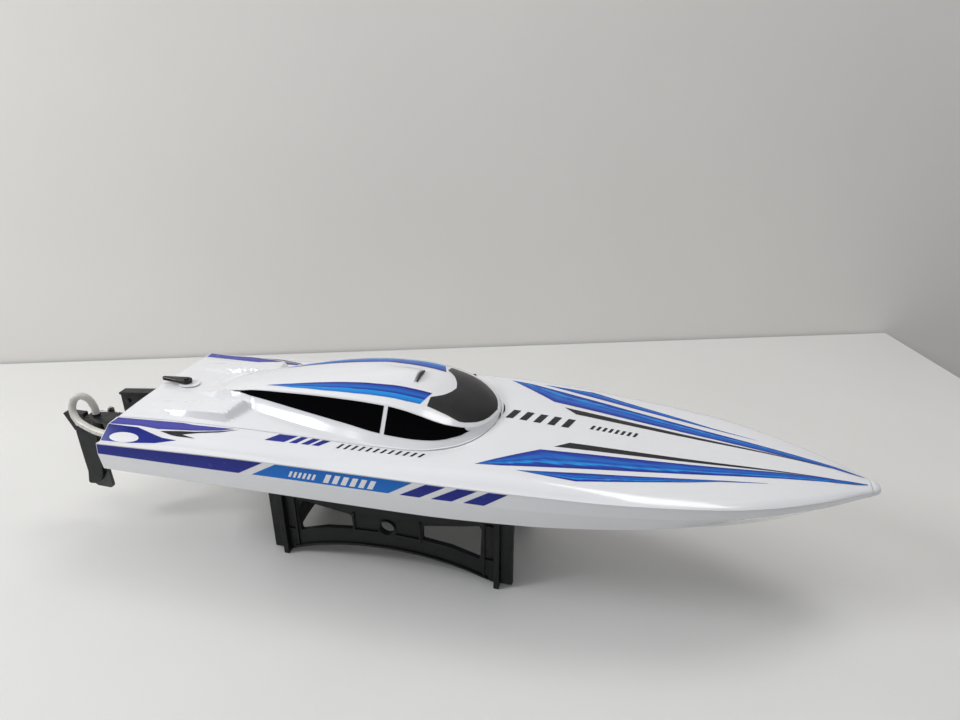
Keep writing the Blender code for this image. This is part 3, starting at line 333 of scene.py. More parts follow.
def lay(name, first, second, surface, look, body, lift=0.12, across=6, step=3.0, sides=(1, -1)):
    """Thin film between two lines drawn on a surface, the same on both sides of the boat.

    The attribute `lane` runs from 0 on the first line to 1 on the second, `run` along them.
    """
    length = max(sum(math.dist(a, b) for a, b in zip(ln, ln[1:])) for ln in (first, second))
    ts = set(np.round(fractions(first) + fractions(second), 5))
    ts |= set(np.round(np.linspace(0.0, 1.0, int(length / step) + 2), 5))
    ts = sorted(ts)
    verts, lanes, runs, faces = [], [], [], []
    for side in sides:
        base = len(verts)
        for t in ts:
            a, b = at_fraction(first, t), at_fraction(second, t)
            for k in range(across + 1):
                u, v = a + (b - a) * (k / across)
                p = np.array(surface(u, v))
                du = np.array(surface(u + 0.3, v)) - np.array(surface(u - 0.3, v))
                dv = np.array(surface(u, v + 0.3)) - np.array(surface(u, v - 0.3))
                n = np.cross(du, dv)
                n *= (1.0 if n[1] + n[2] > 0 else -1.0) / max(np.linalg.norm(n), 1e-9)
                p = p + n * lift
                verts.append((p[0], p[1] * side, p[2]))
                lanes.append(k / across)
                runs.append(t)
        for f in grid_faces(len(ts), across + 1):
            faces.append(tuple(base + i for i in (f if side > 0 else f[::-1])))
    mesh = bpy.data.meshes.new(name)
    mesh.from_pydata([put(v) for v in verts], [], faces)
    for key, values in (("lane", lanes), ("run", runs)):
        mesh.attributes.new(key, "FLOAT", "POINT").data.foreach_set("value", values)
    bm = bmesh.new()
    bm.from_mesh(mesh)
    for face in bm.faces:
        face.smooth = True
    up = sum(f.normal.z + 0.2 * f.normal.y * math.copysign(1, f.calc_center_median().y) for f in bm.faces)
    if up < 0:
        bmesh.ops.reverse_faces(bm, faces=bm.faces)
    bm.to_mesh(mesh)
    bm.free()
    obj = linked(name, mesh)
    mesh.materials.append(look)
    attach(obj, body)
    return obj


def on_deck(x, y):
    return (x, y, deck_z(x, y))


def on_hatch(x, y):
    return (x, y, hatch_z(x, y))


def on_side(x, z):
    return (x, side_y(x, z), z)


def on_window(x, t):
    """Cabin side between the roof crest (t = 0) and the sill (t = 1)."""
    yr, ys, _ = hatch_lines(x)
    return (x, yr + (ys - yr) * t, roof_z(x) + (sill_z(x) - roof_z(x)) * t)


# ---------------------------------------------------------------- materials
def nodes_of(name):
    mat = bpy.data.materials.new(name)
    mat.use_nodes = True
    tree = mat.node_tree
    return mat, tree, tree.nodes["Principled BSDF"]


def node(tree, kind, **inputs):
    made = tree.nodes.new(kind)
    for key, value in inputs.items():
        made.inputs[key.replace("_", " ")].default_value = value
    return made


def noise(tree, scale, detail=3.0, stretch=(1, 1, 1)):
    """Noise in the piece's own space; scale in cycles per metre."""
    where = tree.nodes.new("ShaderNodeTexCoord")
    fit = tree.nodes.new("ShaderNodeMapping")
    fit.inputs["Scale"].default_value = stretch
    made = node(tree, "ShaderNodeTexNoise", Scale=scale, Detail=detail)
    tree.links.new(where.outputs["Object"], fit.inputs["Vector"])
    tree.links.new(fit.outputs["Vector"], made.inputs["Vector"])
    return made.outputs["Fac"]


def ramp(tree, source, stops):
    made = tree.nodes.new("ShaderNodeValToRGB")
    bar = made.color_ramp
    while len(bar.elements) < len(stops):
        bar.elements.new(0.5)
    for stop, (place, colour) in zip(bar.elements, stops):
        stop.position = place
        stop.color = (*colour, 1.0)
    tree.links.new(source, made.inputs["Fac"])
    return made.outputs["Color"]


def mapped(tree, source, low, high):
    made = tree.nodes.new("ShaderNodeMapRange")
    made.inputs["From Min"].default_value = 0.3
    made.inputs["From Max"].default_value = 0.7
    made.inputs["To Min"].default_value = low
    made.inputs["To Max"].default_value = high
    tree.links.new(source, made.inputs["Value"])
    return made.outputs["Result"]


def bumped(tree, bsdf, source, strength, distance):
    made = node(tree, "ShaderNodeBump", Strength=strength, Distance=distance)
    tree.links.new(source, made.inputs["Height"])
    tree.links.new(made.outputs["Normal"], bsdf.inputs["Normal"])


def shade(colour, k):
    return tuple(min(c * k, 1.0) for c in colour)


def plastic(name, colour, rough=0.3, spread=0.05, tone=0.04, patch=14.0, grain=900.0, relief=0.05, coat=0.0,
            metal=0.0, stretch=(1, 1, 1), sheen=0.5):
    """Moulded, painted or metal surface: slow tone drift, uneven gloss and a fine relief."""
    mat, tree, bsdf = nodes_of(name)
    drift = noise(tree, patch)
    tint = ramp(tree, drift, [(0.3, shade(colour, 1.0 - tone)), (0.7, shade(colour, 1.0 + tone))])
    tree.links.new(tint, bsdf.inputs["Base Color"])
    gloss = noise(tree, patch * 3.0, 5.0, stretch)
    tree.links.new(mapped(tree, gloss, rough - spread, rough + spread), bsdf.inputs["Roughness"])
    bumped(tree, bsdf, noise(tree, grain, 2.0, stretch), relief, 0.0002)
    bsdf.inputs["Metallic"].default_value = metal
    bsdf.inputs["Coat Weight"].default_value = coat
    bsdf.inputs["Coat Roughness"].default_value = 0.04
    bsdf.inputs["Specular IOR Level"].default_value = sheen
    return mat


def film(name, tones, streak=0.0, rough=0.22):
    """Printed film: tones across its width, with fine lengthwise streaks."""
    mat, tree, bsdf = nodes_of(name)
    lane = tree.nodes.new("ShaderNodeAttribute")
    lane.attribute_name = "lane"
    fine = noise(tree, 240.0, 2.0, (0.06, 1.6, 1.0))
    shift = tree.nodes.new("ShaderNodeMath")
    shift.operation = "MULTIPLY_ADD"
    shift.inputs[1].default_value = streak
    tree.links.new(fine, shift.inputs[0])
    tree.links.new(lane.outputs["Fac"], shift.inputs[2])
    less = tree.nodes.new("ShaderNodeMath")
    less.operation = "SUBTRACT"
    less.inputs[1].default_value = 0.5 * streak
    tree.links.new(shift.outputs["Value"], less.inputs[0])
    tree.links.new(ramp(tree, less.outputs["Value"], tones), bsdf.inputs["Base Color"])
    gloss = noise(tree, 60.0, 4.0)
    tree.links.new(mapped(tree, gloss, rough - 0.05, rough + 0.06), bsdf.inputs["Roughness"])
    bumped(tree, bsdf, noise(tree, 700.0, 2.0), 0.03, 0.0002)
    bsdf.inputs["Specular IOR Level"].default_value = 0.22
    bsdf.inputs["Coat Weight"].default_value = 0.08
    bsdf.inputs["Coat Roughness"].default_value = 0.06
    return mat


INDIGO = (0.012, 0.022, 0.240)
ROYAL = (0.012, 0.055, 0.400)
AZURE = (0.008, 0.150, 0.560)
SKY = (0.010, 0.310, 0.780)
VIOLET = (0.050, 0.052, 0.330)
PAPER = (0.80, 0.81, 0.84)
COAL = (0.012, 0.012, 0.014)

LOOKS = {
    "hull": plastic("hull_gelcoat", PAPER, 0.16, 0.04, 0.012, 9.0, 420.0, 0.035, 0.6),
    "deck": plastic("deck_gelcoat", PAPER, 0.17, 0.04, 0.012, 9.0, 420.0, 0.035, 0.6),
    "hatch": plastic("hatch_gelcoat", (0.81, 0.82, 0.85), 0.16, 0.04, 0.012, 9.0, 420.0, 0.035, 0.6),
    "trim_white": plastic("white_trim", (0.74, 0.75, 0.77), 0.36, 0.08, 0.03, 30.0, 900.0, 0.08),
    "nose": plastic("nose_rubber", (0.76, 0.77, 0.79), 0.46, 0.08, 0.03, 60.0, 1400.0, 0.10),
    "nylon": plastic("black_nylon", (0.0095, 0.0105, 0.0115), 0.40, 0.10, 0.25, 60.0, 1600.0, 0.25,
                     sheen=0.3),
    "stand": plastic("stand_abs", (0.0075, 0.0080, 0.0092), 0.43, 0.10, 0.25, 40.0, 1500.0, 0.22,
                     sheen=0.3),
    "lever": plastic("lever_gloss", (0.0060, 0.0060, 0.0070), 0.16, 0.06, 0.25, 60.0, 900.0, 0.06,
                     sheen=0.4),
    "foam": plastic("seal_foam", (0.03, 0.03, 0.031), 0.92, 0.05, 0.30, 300.0, 3000.0, 0.6),
    "steel": plastic("stainless", (0.58, 0.58, 0.60), 0.26, 0.08, 0.05, 60.0, 900.0, 0.10, 0, 1,
                     (0.1, 1, 1)),
    "black_steel": plastic("black_steel", (0.025, 0.025, 0.028), 0.30, 0.08, 0.2, 80.0, 1200.0, 0.15,
                           0, 0.6),
    "dark_brass": plastic("dark_brass", (0.22, 0.15, 0.08), 0.34, 0.08, 0.2, 80.0, 1200.0, 0.15, 0, 1),
    "brass": plastic("brass", (0.72, 0.52, 0.24), 0.30, 0.08, 0.06, 60.0, 900.0, 0.08, 0, 1, (0.1, 1, 1)),
    "blue_alu": plastic("anodised_blue", (0.04, 0.13, 0.50), 0.30, 0.06, 0.06, 60.0, 1600.0, 0.10, 0, 1),
    "wrap": plastic("battery_wrap", (0.04, 0.10, 0.32), 0.30, 0.08, 0.10, 40.0, 260.0, 0.25, 0.3),
    "case": plastic("electronics_case", (0.03, 0.03, 0.035), 0.40, 0.08, 0.20, 60.0, 1800.0, 0.30),
    "servo": plastic("servo_case", (0.022, 0.022, 0.024), 0.34, 0.06, 0.20, 60.0, 1400.0, 0.15),
    "web": plastic("strap_web", (0.02, 0.02, 0.022), 0.85, 0.06, 0.30, 200.0, 2600.0, 0.8, 0, 0, (1, 4, 1)),
    "horn": plastic("servo_horn", (0.76, 0.76, 0.74), 0.40, 0.08, 0.04, 60.0, 1200.0, 0.10),
    "prop": plastic("prop_nylon", (0.022, 0.022, 0.024), 0.32, 0.08, 0.25, 60.0, 1200.0, 0.12),
    "intake": plastic("intake_mouth", (0.010, 0.010, 0.011), 0.5, 0.10, 0.30, 80.0, 1500.0, 0.20),
    "black_film": film("black_film", [(0.0, COAL), (1.0, shade(COAL, 1.6))], 0.3, 0.25),
    "white_film": film("white_film", [(0.0, PAPER), (1.0, shade(PAPER, 1.04))], 0.3, 0.25),
    "indigo": film("indigo_film", [(0.0, shade(INDIGO, 0.9)), (0.5, INDIGO),
                                   (1.0, shade(INDIGO, 1.15))], 0.4),
    "azure": film("azure_film", [(0.0, shade(AZURE, 0.9)), (0.5, AZURE), (1.0, shade(AZURE, 1.1))], 0.4),
    "violet": film("violet_film", [(0.0, VIOLET), (0.5, shade(VIOLET, 1.15)),
                                   (1.0, shade(VIOLET, 0.85))], 0.3),
    "bow_band": film("bow_band_film", [(0.0, INDIGO), (0.2, ROYAL), (0.4, AZURE), (0.55, ROYAL),
                                       (0.72, SKY), (0.8, ROYAL), (1.0, INDIGO)], 0.35),
    "roof_band": film("roof_band_film", [(0.0, INDIGO), (0.12, INDIGO), (0.16, ROYAL), (0.42, AZURE),
                                         (0.56, ROYAL), (0.62, INDIGO), (0.66, SKY), (1.0, AZURE)], 0.14),
}


def wood(name):
    """Birch ply: long grain bands with darker fibres."""
    mat, tree, bsdf = nodes_of(name)
    bands = noise(tree, 60.0, 6.0, (0.12, 1.0, 1.0))
    tint = ramp(tree, bands, [(0.25, (0.34, 0.22, 0.11)), (0.5, (0.52, 0.37, 0.21)),
                              (0.75, (0.60, 0.45, 0.28))])
    tree.links.new(tint, bsdf.inputs["Base Color"])
    tree.links.new(mapped(tree, bands, 0.55, 0.75), bsdf.inputs["Roughness"])
    bumped(tree, bsdf, noise(tree, 700.0, 3.0, (0.05, 1.0, 1.0)), 0.3, 0.0002)
    return mat


def silicone(name):
    """Milky tubing that lets some light in."""
    mat, tree, bsdf = nodes_of(name)
    tint = ramp(tree, noise(tree, 50.0), [(0.3, (0.66, 0.65, 0.60)), (0.7, (0.78, 0.77, 0.73))])
    tree.links.new(tint, bsdf.inputs["Base Color"])
    tree.links.new(mapped(tree, noise(tree, 160.0, 4.0), 0.24, 0.38), bsdf.inputs["Roughness"])
    bumped(tree, bsdf, noise(tree, 500.0, 2.0), 0.06, 0.0002)
    bsdf.inputs["Subsurface Weight"].default_value = 0.35
    bsdf.inputs["Subsurface Radius"].default_value = (0.004, 0.0036, 0.003)
    bsdf.inputs["Transmission Weight"].default_value = 0.18
    return mat


def print_with_painted_reflection(name, near, far, sheen):
    """Dark glossy window print with a painted reflection: a little lighter towards its far edge."""
    mat, tree, bsdf = nodes_of(name)
    lane = tree.nodes.new("ShaderNodeAttribute")
    lane.attribute_name = "lane"
    # Painted reflection: the colour is graded across the window from near to far.
    tree.links.new(ramp(tree, lane.outputs["Fac"], [(0.0, near), (1.0, far)]), bsdf.inputs["Base Color"])
    tree.links.new(mapped(tree, noise(tree, 40.0, 4.0), 0.07, 0.14), bsdf.inputs["Roughness"])
    bumped(tree, bsdf, noise(tree, 380.0, 2.0), 0.03, 0.0002)
    bsdf.inputs["Specular IOR Level"].default_value = sheen
    return mat


LOOKS["ply"] = wood("tray_ply")
LOOKS["tube"] = silicone("silicone_tube")
# Both window looks paint a reflection into their colour, as a gradient from one edge to the other.
LOOKS["glass"] = print_with_painted_reflection("window_print_painted_reflection", (0.0008, 0.0008, 0.0012), (0.0014, 0.0014, 0.0020), 0.05)
LOOKS["screen"] = print_with_painted_reflection("windscreen_print_painted_reflection", (0.020, 0.021, 0.024), (0.005, 0.005, 0.006), 0.35)

CAD_LOOKS = {
    "hull": ["hull_lower"], "deck": ["deck", "coaming"], "hatch": ["hatch", "latch_pad"],
    "trim_white": ["transom_cap"], "nose": ["bow_cap"], "foam": ["hatch_seal"],
    "nylon": ["rudder_bracket", "rudder_head", "rudder_cheek", "drive_strut", "latch_cam",
              "hull_barb", "inlet_barb", "outlet_barb", "rod_boot", "motor_can", "tiller_arm"],
    "lever": ["latch_lever"],
    "stand": ["panel_port", "panel_starboard", "cradle_aft", "cradle_fore"],
    "black_steel": ["latch_screw", "strut_screw", "bracket_screw_1", "bracket_screw_2"],
    "steel": ["pivot_pin", "rudder_screw", "push_rod", "rod_tail", "drive_shaft", "drive_dog", "prop_nut",
              "motor_shaft", "servo_spline", "stopper_screw"],
    "brass": ["stuffing_tube"], "dark_brass": ["linkage_stopper"],
    "blue_alu": ["coupler", "water_jacket", "motor_mount"],
    "wrap": ["battery"], "case": ["esc", "receiver"], "servo": ["servo_case"], "web": ["battery_strap"],
    "horn": ["servo_horn"], "prop": ["propeller", "rudder_blade"], "intake": ["intake_insert"],
    "ply": ["battery_tray", "equipment_tray"], "tube": ["cooling_tube", "water_in", "water_out"],
}
for look, names in CAD_LOOKS.items():
    for name in names:
        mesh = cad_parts[name].data
        mesh.materials.clear()
        mesh.materials.append(LOOKS[look])


# ---------------------------------------------------------------- hull shell
def rounded(points, radius):
    """Polyline with its inner corners replaced by short arcs."""
    out = [points[0]]
    for a, p, b in zip(points, points[1:], points[2:]):
        a, p, b = (np.array(q, float) for q in (a, p, b))
        ra = min(radius, 0.4 * np.linalg.norm(a - p))
        rb = min(radius, 0.4 * np.linalg.norm(b - p))
        start = p + (a - p) * ra / max(np.linalg.norm(a - p), 1e-9)
        end = p + (b - p) * rb / max(np.linalg.norm(b - p), 1e-9)
        for t in (0.0, 0.33, 0.67, 1.0):
            q = start * (1 - t) ** 2 + 2 * p * t * (1 - t) + end * t * t
            out.append((float(q[0]), float(q[1])))
    out.append(points[-1])
    return out


def hull_section(x):
    """Half section from keel to rim, with its strakes, chine and knuckle."""
    yc, zc, zk = chine_y(x), chine_z(x), keel_z(x)
    yk, zn = beam(x) + knuckle_out(x), knuckle_z(x)
    s = 1.2 * smooth((600.0 - x) / 120.0)

    def on(f, drop=0.0):
        return (f * yc, zk + (zc - zk) * f - drop)
    return [(0.0, zk), on(0.38), on(0.455, s), on(0.462), on(0.70), on(0.775, s), on(0.782),
            (yc, zc), (yk, zn), (beam(x), rail_z(x) - RIM)]


def inner_section(x):
    """Half section of the smooth inner skin."""
    yc, zc, zk = chine_y(x), chine_z(x), keel_z(x)
    yk, zn = beam(x) + knuckle_out(x), knuckle_z(x)
    top = max(beam(x) - SHELL, 0.2)
    keel = (0.0, min(zk + 2.2, zc - 0.4))
    chine = (max(yc - 2.2, 0.15), max(zc + 0.8, keel[1] + 0.2))
    return [keel, between(keel, chine, 0.5), chine, (max(yk - SHELL, 0.2), zn), (top, rail_z(x) - 2.8)]


def hull_side_to_side(half):
    return [(y, z) for y, z in reversed(half)] + [(-y, z) for y, z in half[1:]]


def build_hull():
    xs = span(0, 420, 20) + span(430, 560, 8) + span(565, NOSE_JOINT, 4)
    last = 618.0
    outer = [[(x, y, z) for y, z in hull_side_to_side(rounded(hull_section(x), 0.9))] for x in xs]
    inner = []
    for x in xs:
        xi = SHELL + x * (last - SHELL) / NOSE_JOINT
        inner.append([(xi, y, z) for y, z in hull_side_to_side(inner_section(xi))])
    verts, faces, rims = [], [], []
    for rows, flip in ((outer, False), (inner, True)):
        base, m = len(verts), len(rows[0])
        verts += [p for row in rows for p in row]
        grid = grid_faces(len(rows), m)
        faces += [tuple(base + i for i in (f[::-1] if flip else f)) for f in grid]
        ends = [base + i for i in range(m)]
        faces.append(ends)
        tip = [base + (len(rows) - 1) * m + i for i in range(m)]
        faces.append(tip)
        port = [base + r * m for r in range(len(rows))]
        rims.append((port, [i + m - 1 for i in port]))
    for a, b in zip(*rims):
        faces += [(a[i], a[i + 1], b[i + 1], b[i]) for i in range(len(a) - 1)]
    faces.append([rims[0][0][0], rims[1][0][0], rims[1][1][0], rims[0][1][0]])
    faces.append([rims[0][0][-1], rims[1][0][-1], rims[1][1][-1], rims[0][1][-1]])
    obj = make("hull_shell", verts, faces, LOOKS["hull"], "hull", 0.5)
    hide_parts("hull_lower")


# ---------------------------------------------------------------- deck moulding
def hatch_outline(offset):
    """Half outline of the hatch opening from the stern to the nose, moved out by offset."""
    pts = [(x, hatch_half(x)) for x in span(0, 287, 8)]
    y0 = hatch_half(287)
    n = 28
    for i in range(1, n + 1):
        y = y0 * math.cos(0.5 * math.pi * i / n)
        lo, hi = 287.0, 339.0
        for _ in range(40):
            mid = 0.5 * (lo + hi)
            if hatch_half(mid) > y:
                lo = mid
            else:
                hi = mid
        pts.append((0.5 * (lo + hi), y) if i < n else (339.0, 0.0))
    out = []
    for i, p in enumerate(pts):
        a = pts[max(i - 1, 0)]
        b = pts[i + 1] if i + 1 < len(pts) else (p[0], -1.0)
        ln = math.dist(a, b)
        nx, ny = -(b[1] - a[1]) / ln, (b[0] - a[0]) / ln
        if i == 0:
            nx, ny = 0.0, 1.0
        if i == len(pts) - 1:
            nx, ny = 1.0, 0.0
        out.append((p[0] + nx * offset, max(p[1] + ny * offset, 0.0)))
    return out


def rim_path(half, x_end, count):
    """Deck line matched point for point with the hatch outline."""
    side = int(0.52 * count)
    front = count - side - 3
    pts = [(x, half(x)) for x in np.linspace(0.0, 300.0, side)]
    for i in range(1, front + 1):
        x = 300.0 + (x_end - 300.0) * (i / front) ** 0.85
        pts.append((x, half(x)))
    y_end = half(x_end)
    return pts + [(x_end, y_end * (1 - i / 3)) for i in (1, 2, 3)]


def mirrored(half):
    return list(half) + [(x, -y) for x, y in reversed(half[:-1])]


def build_deck():
    seam = hatch_outline(HATCH_GAP)
    crease = rim_path(crease_y, NOSE_JOINT - 2.4, len(seam))
    foot = rim_path(foot_y, NOSE_JOINT - 0.9, len(seam))
    rail = rim_path(beam, NOSE_JOINT, len(seam))
    lines = []
    for t, drop in ((0.0, 0.7), (0.012, 0.25), (0.03, 0.05), (0.06, 0.0)):
        lines.append(([between(a, b, t) for a, b in zip(seam, crease)], drop))
    for t in np.linspace(0.12, 1.0, 12):
        lines.append(([between(a, b, t) for a, b in zip(seam, crease)], 0.0))
    for t in np.linspace(0.125, 1.0, 8):
        lines.append(([between(a, b, t) for a, b in zip(crease, foot)], 0.0))
    for t in (0.4, 0.8, 1.0):
        lines.append(([between(a, b, t) for a, b in zip(foot, rail)], 0.0))
    top, low = [], []
    edge = {len(lines) - 3: 1.6, len(lines) - 2: 0.9, len(lines) - 1: RIM - 0.1}
    for i, (line, drop) in enumerate(lines):
        for x, y in mirrored(line):
            top.append((x, y, deck_z(x, y) - drop))
            low.append((x, y, deck_z(x, y) - edge.get(i, SHELL)))
    cols = len(top) // len(lines)
    obj = slab("deck_moulding", top, low, grid_faces(len(lines), cols), LOOKS["deck"], "hull", 0.45)
    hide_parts("deck")


# ---------------------------------------------------------------- hatch with canopy
def hatch_lines(x):
    """Half breadths of the roof crest, window sill and flank foot."""
    h = max(hatch_half(x) - HATCH_GAP, 0.6)
    yr = min(roof_y(x), 0.6 * h) if x < 84 else min(roof_y(x), 0.78 * h)
    ys = min(max(sill_y(x), yr + 0.3), 0.92 * h)
    yf = min(max(flank_y(x), ys + 0.2), 0.965 * h)
    return yr, ys, yf


def build_hatch():
    xs = span(0.25, 99, 3) + span(100.5, 118.5, 1.5) + span(121, 263, 3)
    xs += [264.2, 264.7, 265.2, 265.7, 266.2, 267]
    xs += span(270, 318, 2.5) + span(319, 336, 1) + [336.8, 337.4, 338.0, 338.6]
    rows_top, rows_low = [], []
    for x in xs:
        h = max(hatch_half(x) - HATCH_GAP, 0.6)
        yr, ys, yf = hatch_lines(x)
        half = [(yr * f, 0.0) for f in np.linspace(0, 1, 13)]
        half += [(yr + (ys - yr) * f, 0.0) for f in (0.2, 0.4, 0.6, 0.8, 1.0)]
        half += [(ys + (yf - ys) * f, 0.0) for f in (0.5, 1.0)]
        half += [(yf + (h - yf) * f, 0.0) for f in np.linspace(0.04, 0.95, 26)]
        half += [(h - 0.25 * min(1.0, h - yf), 0.12), (h, 0.6)]
        full = half[::-1] + [(-y, d) for y, d in half[1:]]
        end = 0.5 if x < 1.0 else 0.0
        rows_top.append([(x, y, hatch_z(x, y) - max(d, end)) for y, d in full])
        rows_low.append([(x, y, hatch_z(x, y) - SHELL) for y, _ in full])
    top = [p for row in rows_top for p in row]
    low = [p for row in rows_low for p in row]
    faces = grid_faces(len(xs), len(rows_top[0]))
    obj = slab("hatch_moulding", top, low, faces, LOOKS["hatch"], "hatch", 0.42)
    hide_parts("hatch")


# ---------------------------------------------------------------- windows
def window(name, top, bottom, look="glass", lift=0.26):
    """Side window between two lines of (x, share of the way down from crest to sill)."""
    lay(name, top, bottom, on_window, LOOKS[look], "hatch", lift, 6, 1.5)


def build_windows():
    window("rear_window", [(83.5, 0.5), (110, 0.10), (180, 0.07), (249.8, 0.05)],
           [(83.5, 0.5), (110, 0.90), (180, 0.94), (249.8, 0.96)])
    window("front_window", [(253.6, 0.04), (290, 0.05), (312, 0.05), (326, 0.10)],
           [(253.6, 0.97), (290, 0.97), (305, 0.96), (316, 0.86), (322, 0.55), (326, 0.12)])
    rear = [(284.5, 38.4), (284.3, 26.9), (289.3, 22.4), (292.7, 18.6), (295.3, 14.0), (297.7, 8.2),
            (299.6, 0.0)]
    front = [(284.5, 38.4), (295.2, 39.2), (307.4, 39.7), (312.3, 39.4), (316.6, 37.2), (321.1, 33.6),
             (325.5, 29.2), (329.6, 23.3), (333.0, 15.9), (335.1, 8.1), (336.5, 0.0)]
    lay("windscreen", mirrored(rear), mirrored(front), on_hatch, LOOKS["screen"], "hatch", 0.14, 10, 1.5,
        (1,))


# ---------------------------------------------------------------- printed films
def bar(name, corners, surface, look, body, **more):
    """Four-cornered mark: aft inner, fore inner, fore outer, aft outer."""
    a, b, c, d = corners
    lay(name, [a, b], [d, c], surface, LOOKS[look], body, **more)


def marks(name, spots, surface, look, body, **more):
    """Row of slanted strokes standing in for lettering; spots are (x, low, high, width, lean)."""
    for i, (x, low, high, width, lean) in enumerate(spots):
        corners = [(x, low), (x + width, low), (x + width + lean, high), (x + lean, high)]
        bar("%s_%d" % (name, i + 1), corners, surface, look, body, **more)


def side_top(x):
    return rail_z(x) - RIM - 0.3


side_low = curve((0, -19.0), (138, -17.6), (150, -17.1), (270, -16.2), (295, -15.9), (331, -15.4),
                 (347, -15.7))


def side_band(name, top, low, look, **more):
    """Stretch of the side stripe between two slanted ends."""
    upper = [(x, side_top(x)) for x in span(*top, 12.0)]
    lower = [(x, side_low(x)) for x in span(*low, 12.0)]
    lay(name, upper, lower, on_side, LOOKS[look], "hull", 0.14, 5, **more)


def build_side_films():
    side_band("side_stripe", (0.6, 161.0), (0.6, 138.0), "indigo")
    side_band("side_panel", (172.5, 290.0), (150.1, 269.6), "azure")
    for i, (top, low) in enumerate((((300.7, 316.6), (279.0, 295.6)), ((326.2, 341.7), (304.9, 321.6)),
                                    ((350.4, 365.3), (330.7, 347.1)))):
        side_band("side_bar_%d" % (i + 1), top, low, "indigo")
    small = [(183.5 + 4.1 * k, -14.0, -8.6, 2.2, 2.6) for k in range(6)]
    large = [(214.0 + 7.6 * k, -14.8, -6.8, 4.6, 3.8) for k in range(6)]
    marks("side_mark_small", small, on_side, "white_film", "hull", lift=0.22, across=2)
    marks("side_mark_large", large, on_side, "white_film", "hull", lift=0.22, across=2)


def build_shoulder_films():
    bars = (((161.3, 66.3), (178.4, 66.3), (170.1, 76), (152, 76)),
            ((181.9, 66.3), (188, 66.3), (181.4, 76), (174.6, 76)),
            ((192.6, 66.5), (199.4, 66.5), (192.4, 76), (185.4, 76)),
            ((202.1, 66.6), (209.1, 66.6), (201.7, 76), (195.2, 76)))
    for i, corners in enumerate(bars):
        corners = [(x, max(y, hatch_half(x) + 1.0)) for x, y in corners]
        bar("shoulder_bar_%d" % (i + 1), corners, on_deck, "indigo", "hull")
    spots = [(217.0 + 6.4 * k, 76.4, 70.0 + 0.2 * k if k < 6 else 71.0, 2.4, 3.2) for k in range(12)]
    marks("shoulder_mark", spots, on_deck, "black_film", "hull", across=2)


def build_stern_films():
    inner = [(1.8, 68.2), (66.9, 65.6), (78.3, 66.8), (104, 66.5), (118, 66.2)]
    outer = [(0.8, 78.3), (30.5, 76.6), (50.4, 78.3), (83.6, 74.8), (106.5, 70.6), (118, 66.2)]
    lay("stern_band", inner, outer, on_deck, LOOKS["violet"], "hull")
    inner = [(0.6, 78.9), (30.6, 78.8), (42.3, 81.5), (58.9, 85.4), (73.7, 86.4)]
    outer = [(0.6, 92.0), (32.4, 92.0), (55.1, 90.5), (73.7, 86.4)]
    lay("stern_patch", inner, outer, on_deck, LOOKS["indigo"], "hull")
    turn = np.linspace(0.0, math.pi, 17)
    near = [(22.3 - 14.8 * math.cos(a), 88.4 - 4.4 * math.sin(a)) for a in turn]
    far = [(22.3 - 14.8 * math.cos(a), 88.4 + 3.6 * math.sin(a)) for a in turn]
    lay("stern_oval", near, far, on_deck, LOOKS["white_film"], "hull", 0.22, 6, 1.5)
    lay("stern_fork_inner", [(53.3, 79.7), (85.6, 76.1), (107, 71.4), (123.7, 66.2)],
        [(53.3, 79.7), (74.3, 81.0), (108.1, 73.0), (123.7, 66.2)], on_deck, LOOKS["black_film"],
        "hull", 0.2)
    lay("stern_fork_outer", [(53.3, 79.7), (74.3, 80.4), (90.2, 83.0)],
        [(53.3, 79.7), (65.5, 82.2), (72, 82.8), (90.2, 83.0)], on_deck, LOOKS["black_film"], "hull", 0.26)


def build_bow_films():
    inner = [(334.7, 75.9), (381.2, 42.2), (525, 21.5), (576, 13.2), (617, 7.7), (638, 4.6)]
    outer = [(334.7, 75.9), (355, 73), (525, 32.8), (575, 21.3), (616.5, 12), (638, 5.6)]
    lay("bow_band", inner, outer, on_deck, LOOKS["bow_band"], "hull", 0.14, 12)
    inner = [(367.2, 75.6), (525, 39.5), (559, 32.6)]
    outer = [(367.2, 75.6), (414, 75.8), (499.5, 49.8), (522, 42), (559, 32.8)]
    lay("bow_band_outer", inner, outer, on_deck, LOOKS["bow_band"], "hull", 0.14, 12)
    inner = [(391.7, 34.5), (403.3, 24.8), (525, 15.4), (580, 11), (612, 8.2)]
    outer = [(391.7, 34.5), (525, 18.6), (612, 8.4)]
    lay("bow_black_band", inner, outer, on_deck, LOOKS["black_film"], "hull", 0.14, 4)
    large = [(344.0 + 12.2 * k, -1.5, 14.3, 6.4, 5.0) for k in range(5)]
    small = [(417.0 + 5.2 * k, 2.6, 9.8, 2.6, 2.6) for k in range(8)]
    marks("deck_mark_large", large, on_deck, "black_film", "hull", across=4, sides=(1,))
    marks("deck_mark_small", small, on_deck, "black_film", "hull", across=2, sides=(1,))


def build_roof_films():
    inner = [(124, 18.5), (151.6, 20.3), (183.6, 21.1), (208, 21.7), (232, 22.6), (249, 21.9),
             (260.7, 21.7), (272, 21.8), (284.1, 21.5)]
    outer = [(124, 18.5), (155, 26.8), (189.6, 33.9), (220, 37.2), (237.8, 37.8), (255, 38.4),
             (266.6, 39.1), (278.6, 38.5)]
    lay("roof_band", inner, outer, on_hatch, LOOKS["roof_band"], "hatch", 0.14, 14, 2.0)


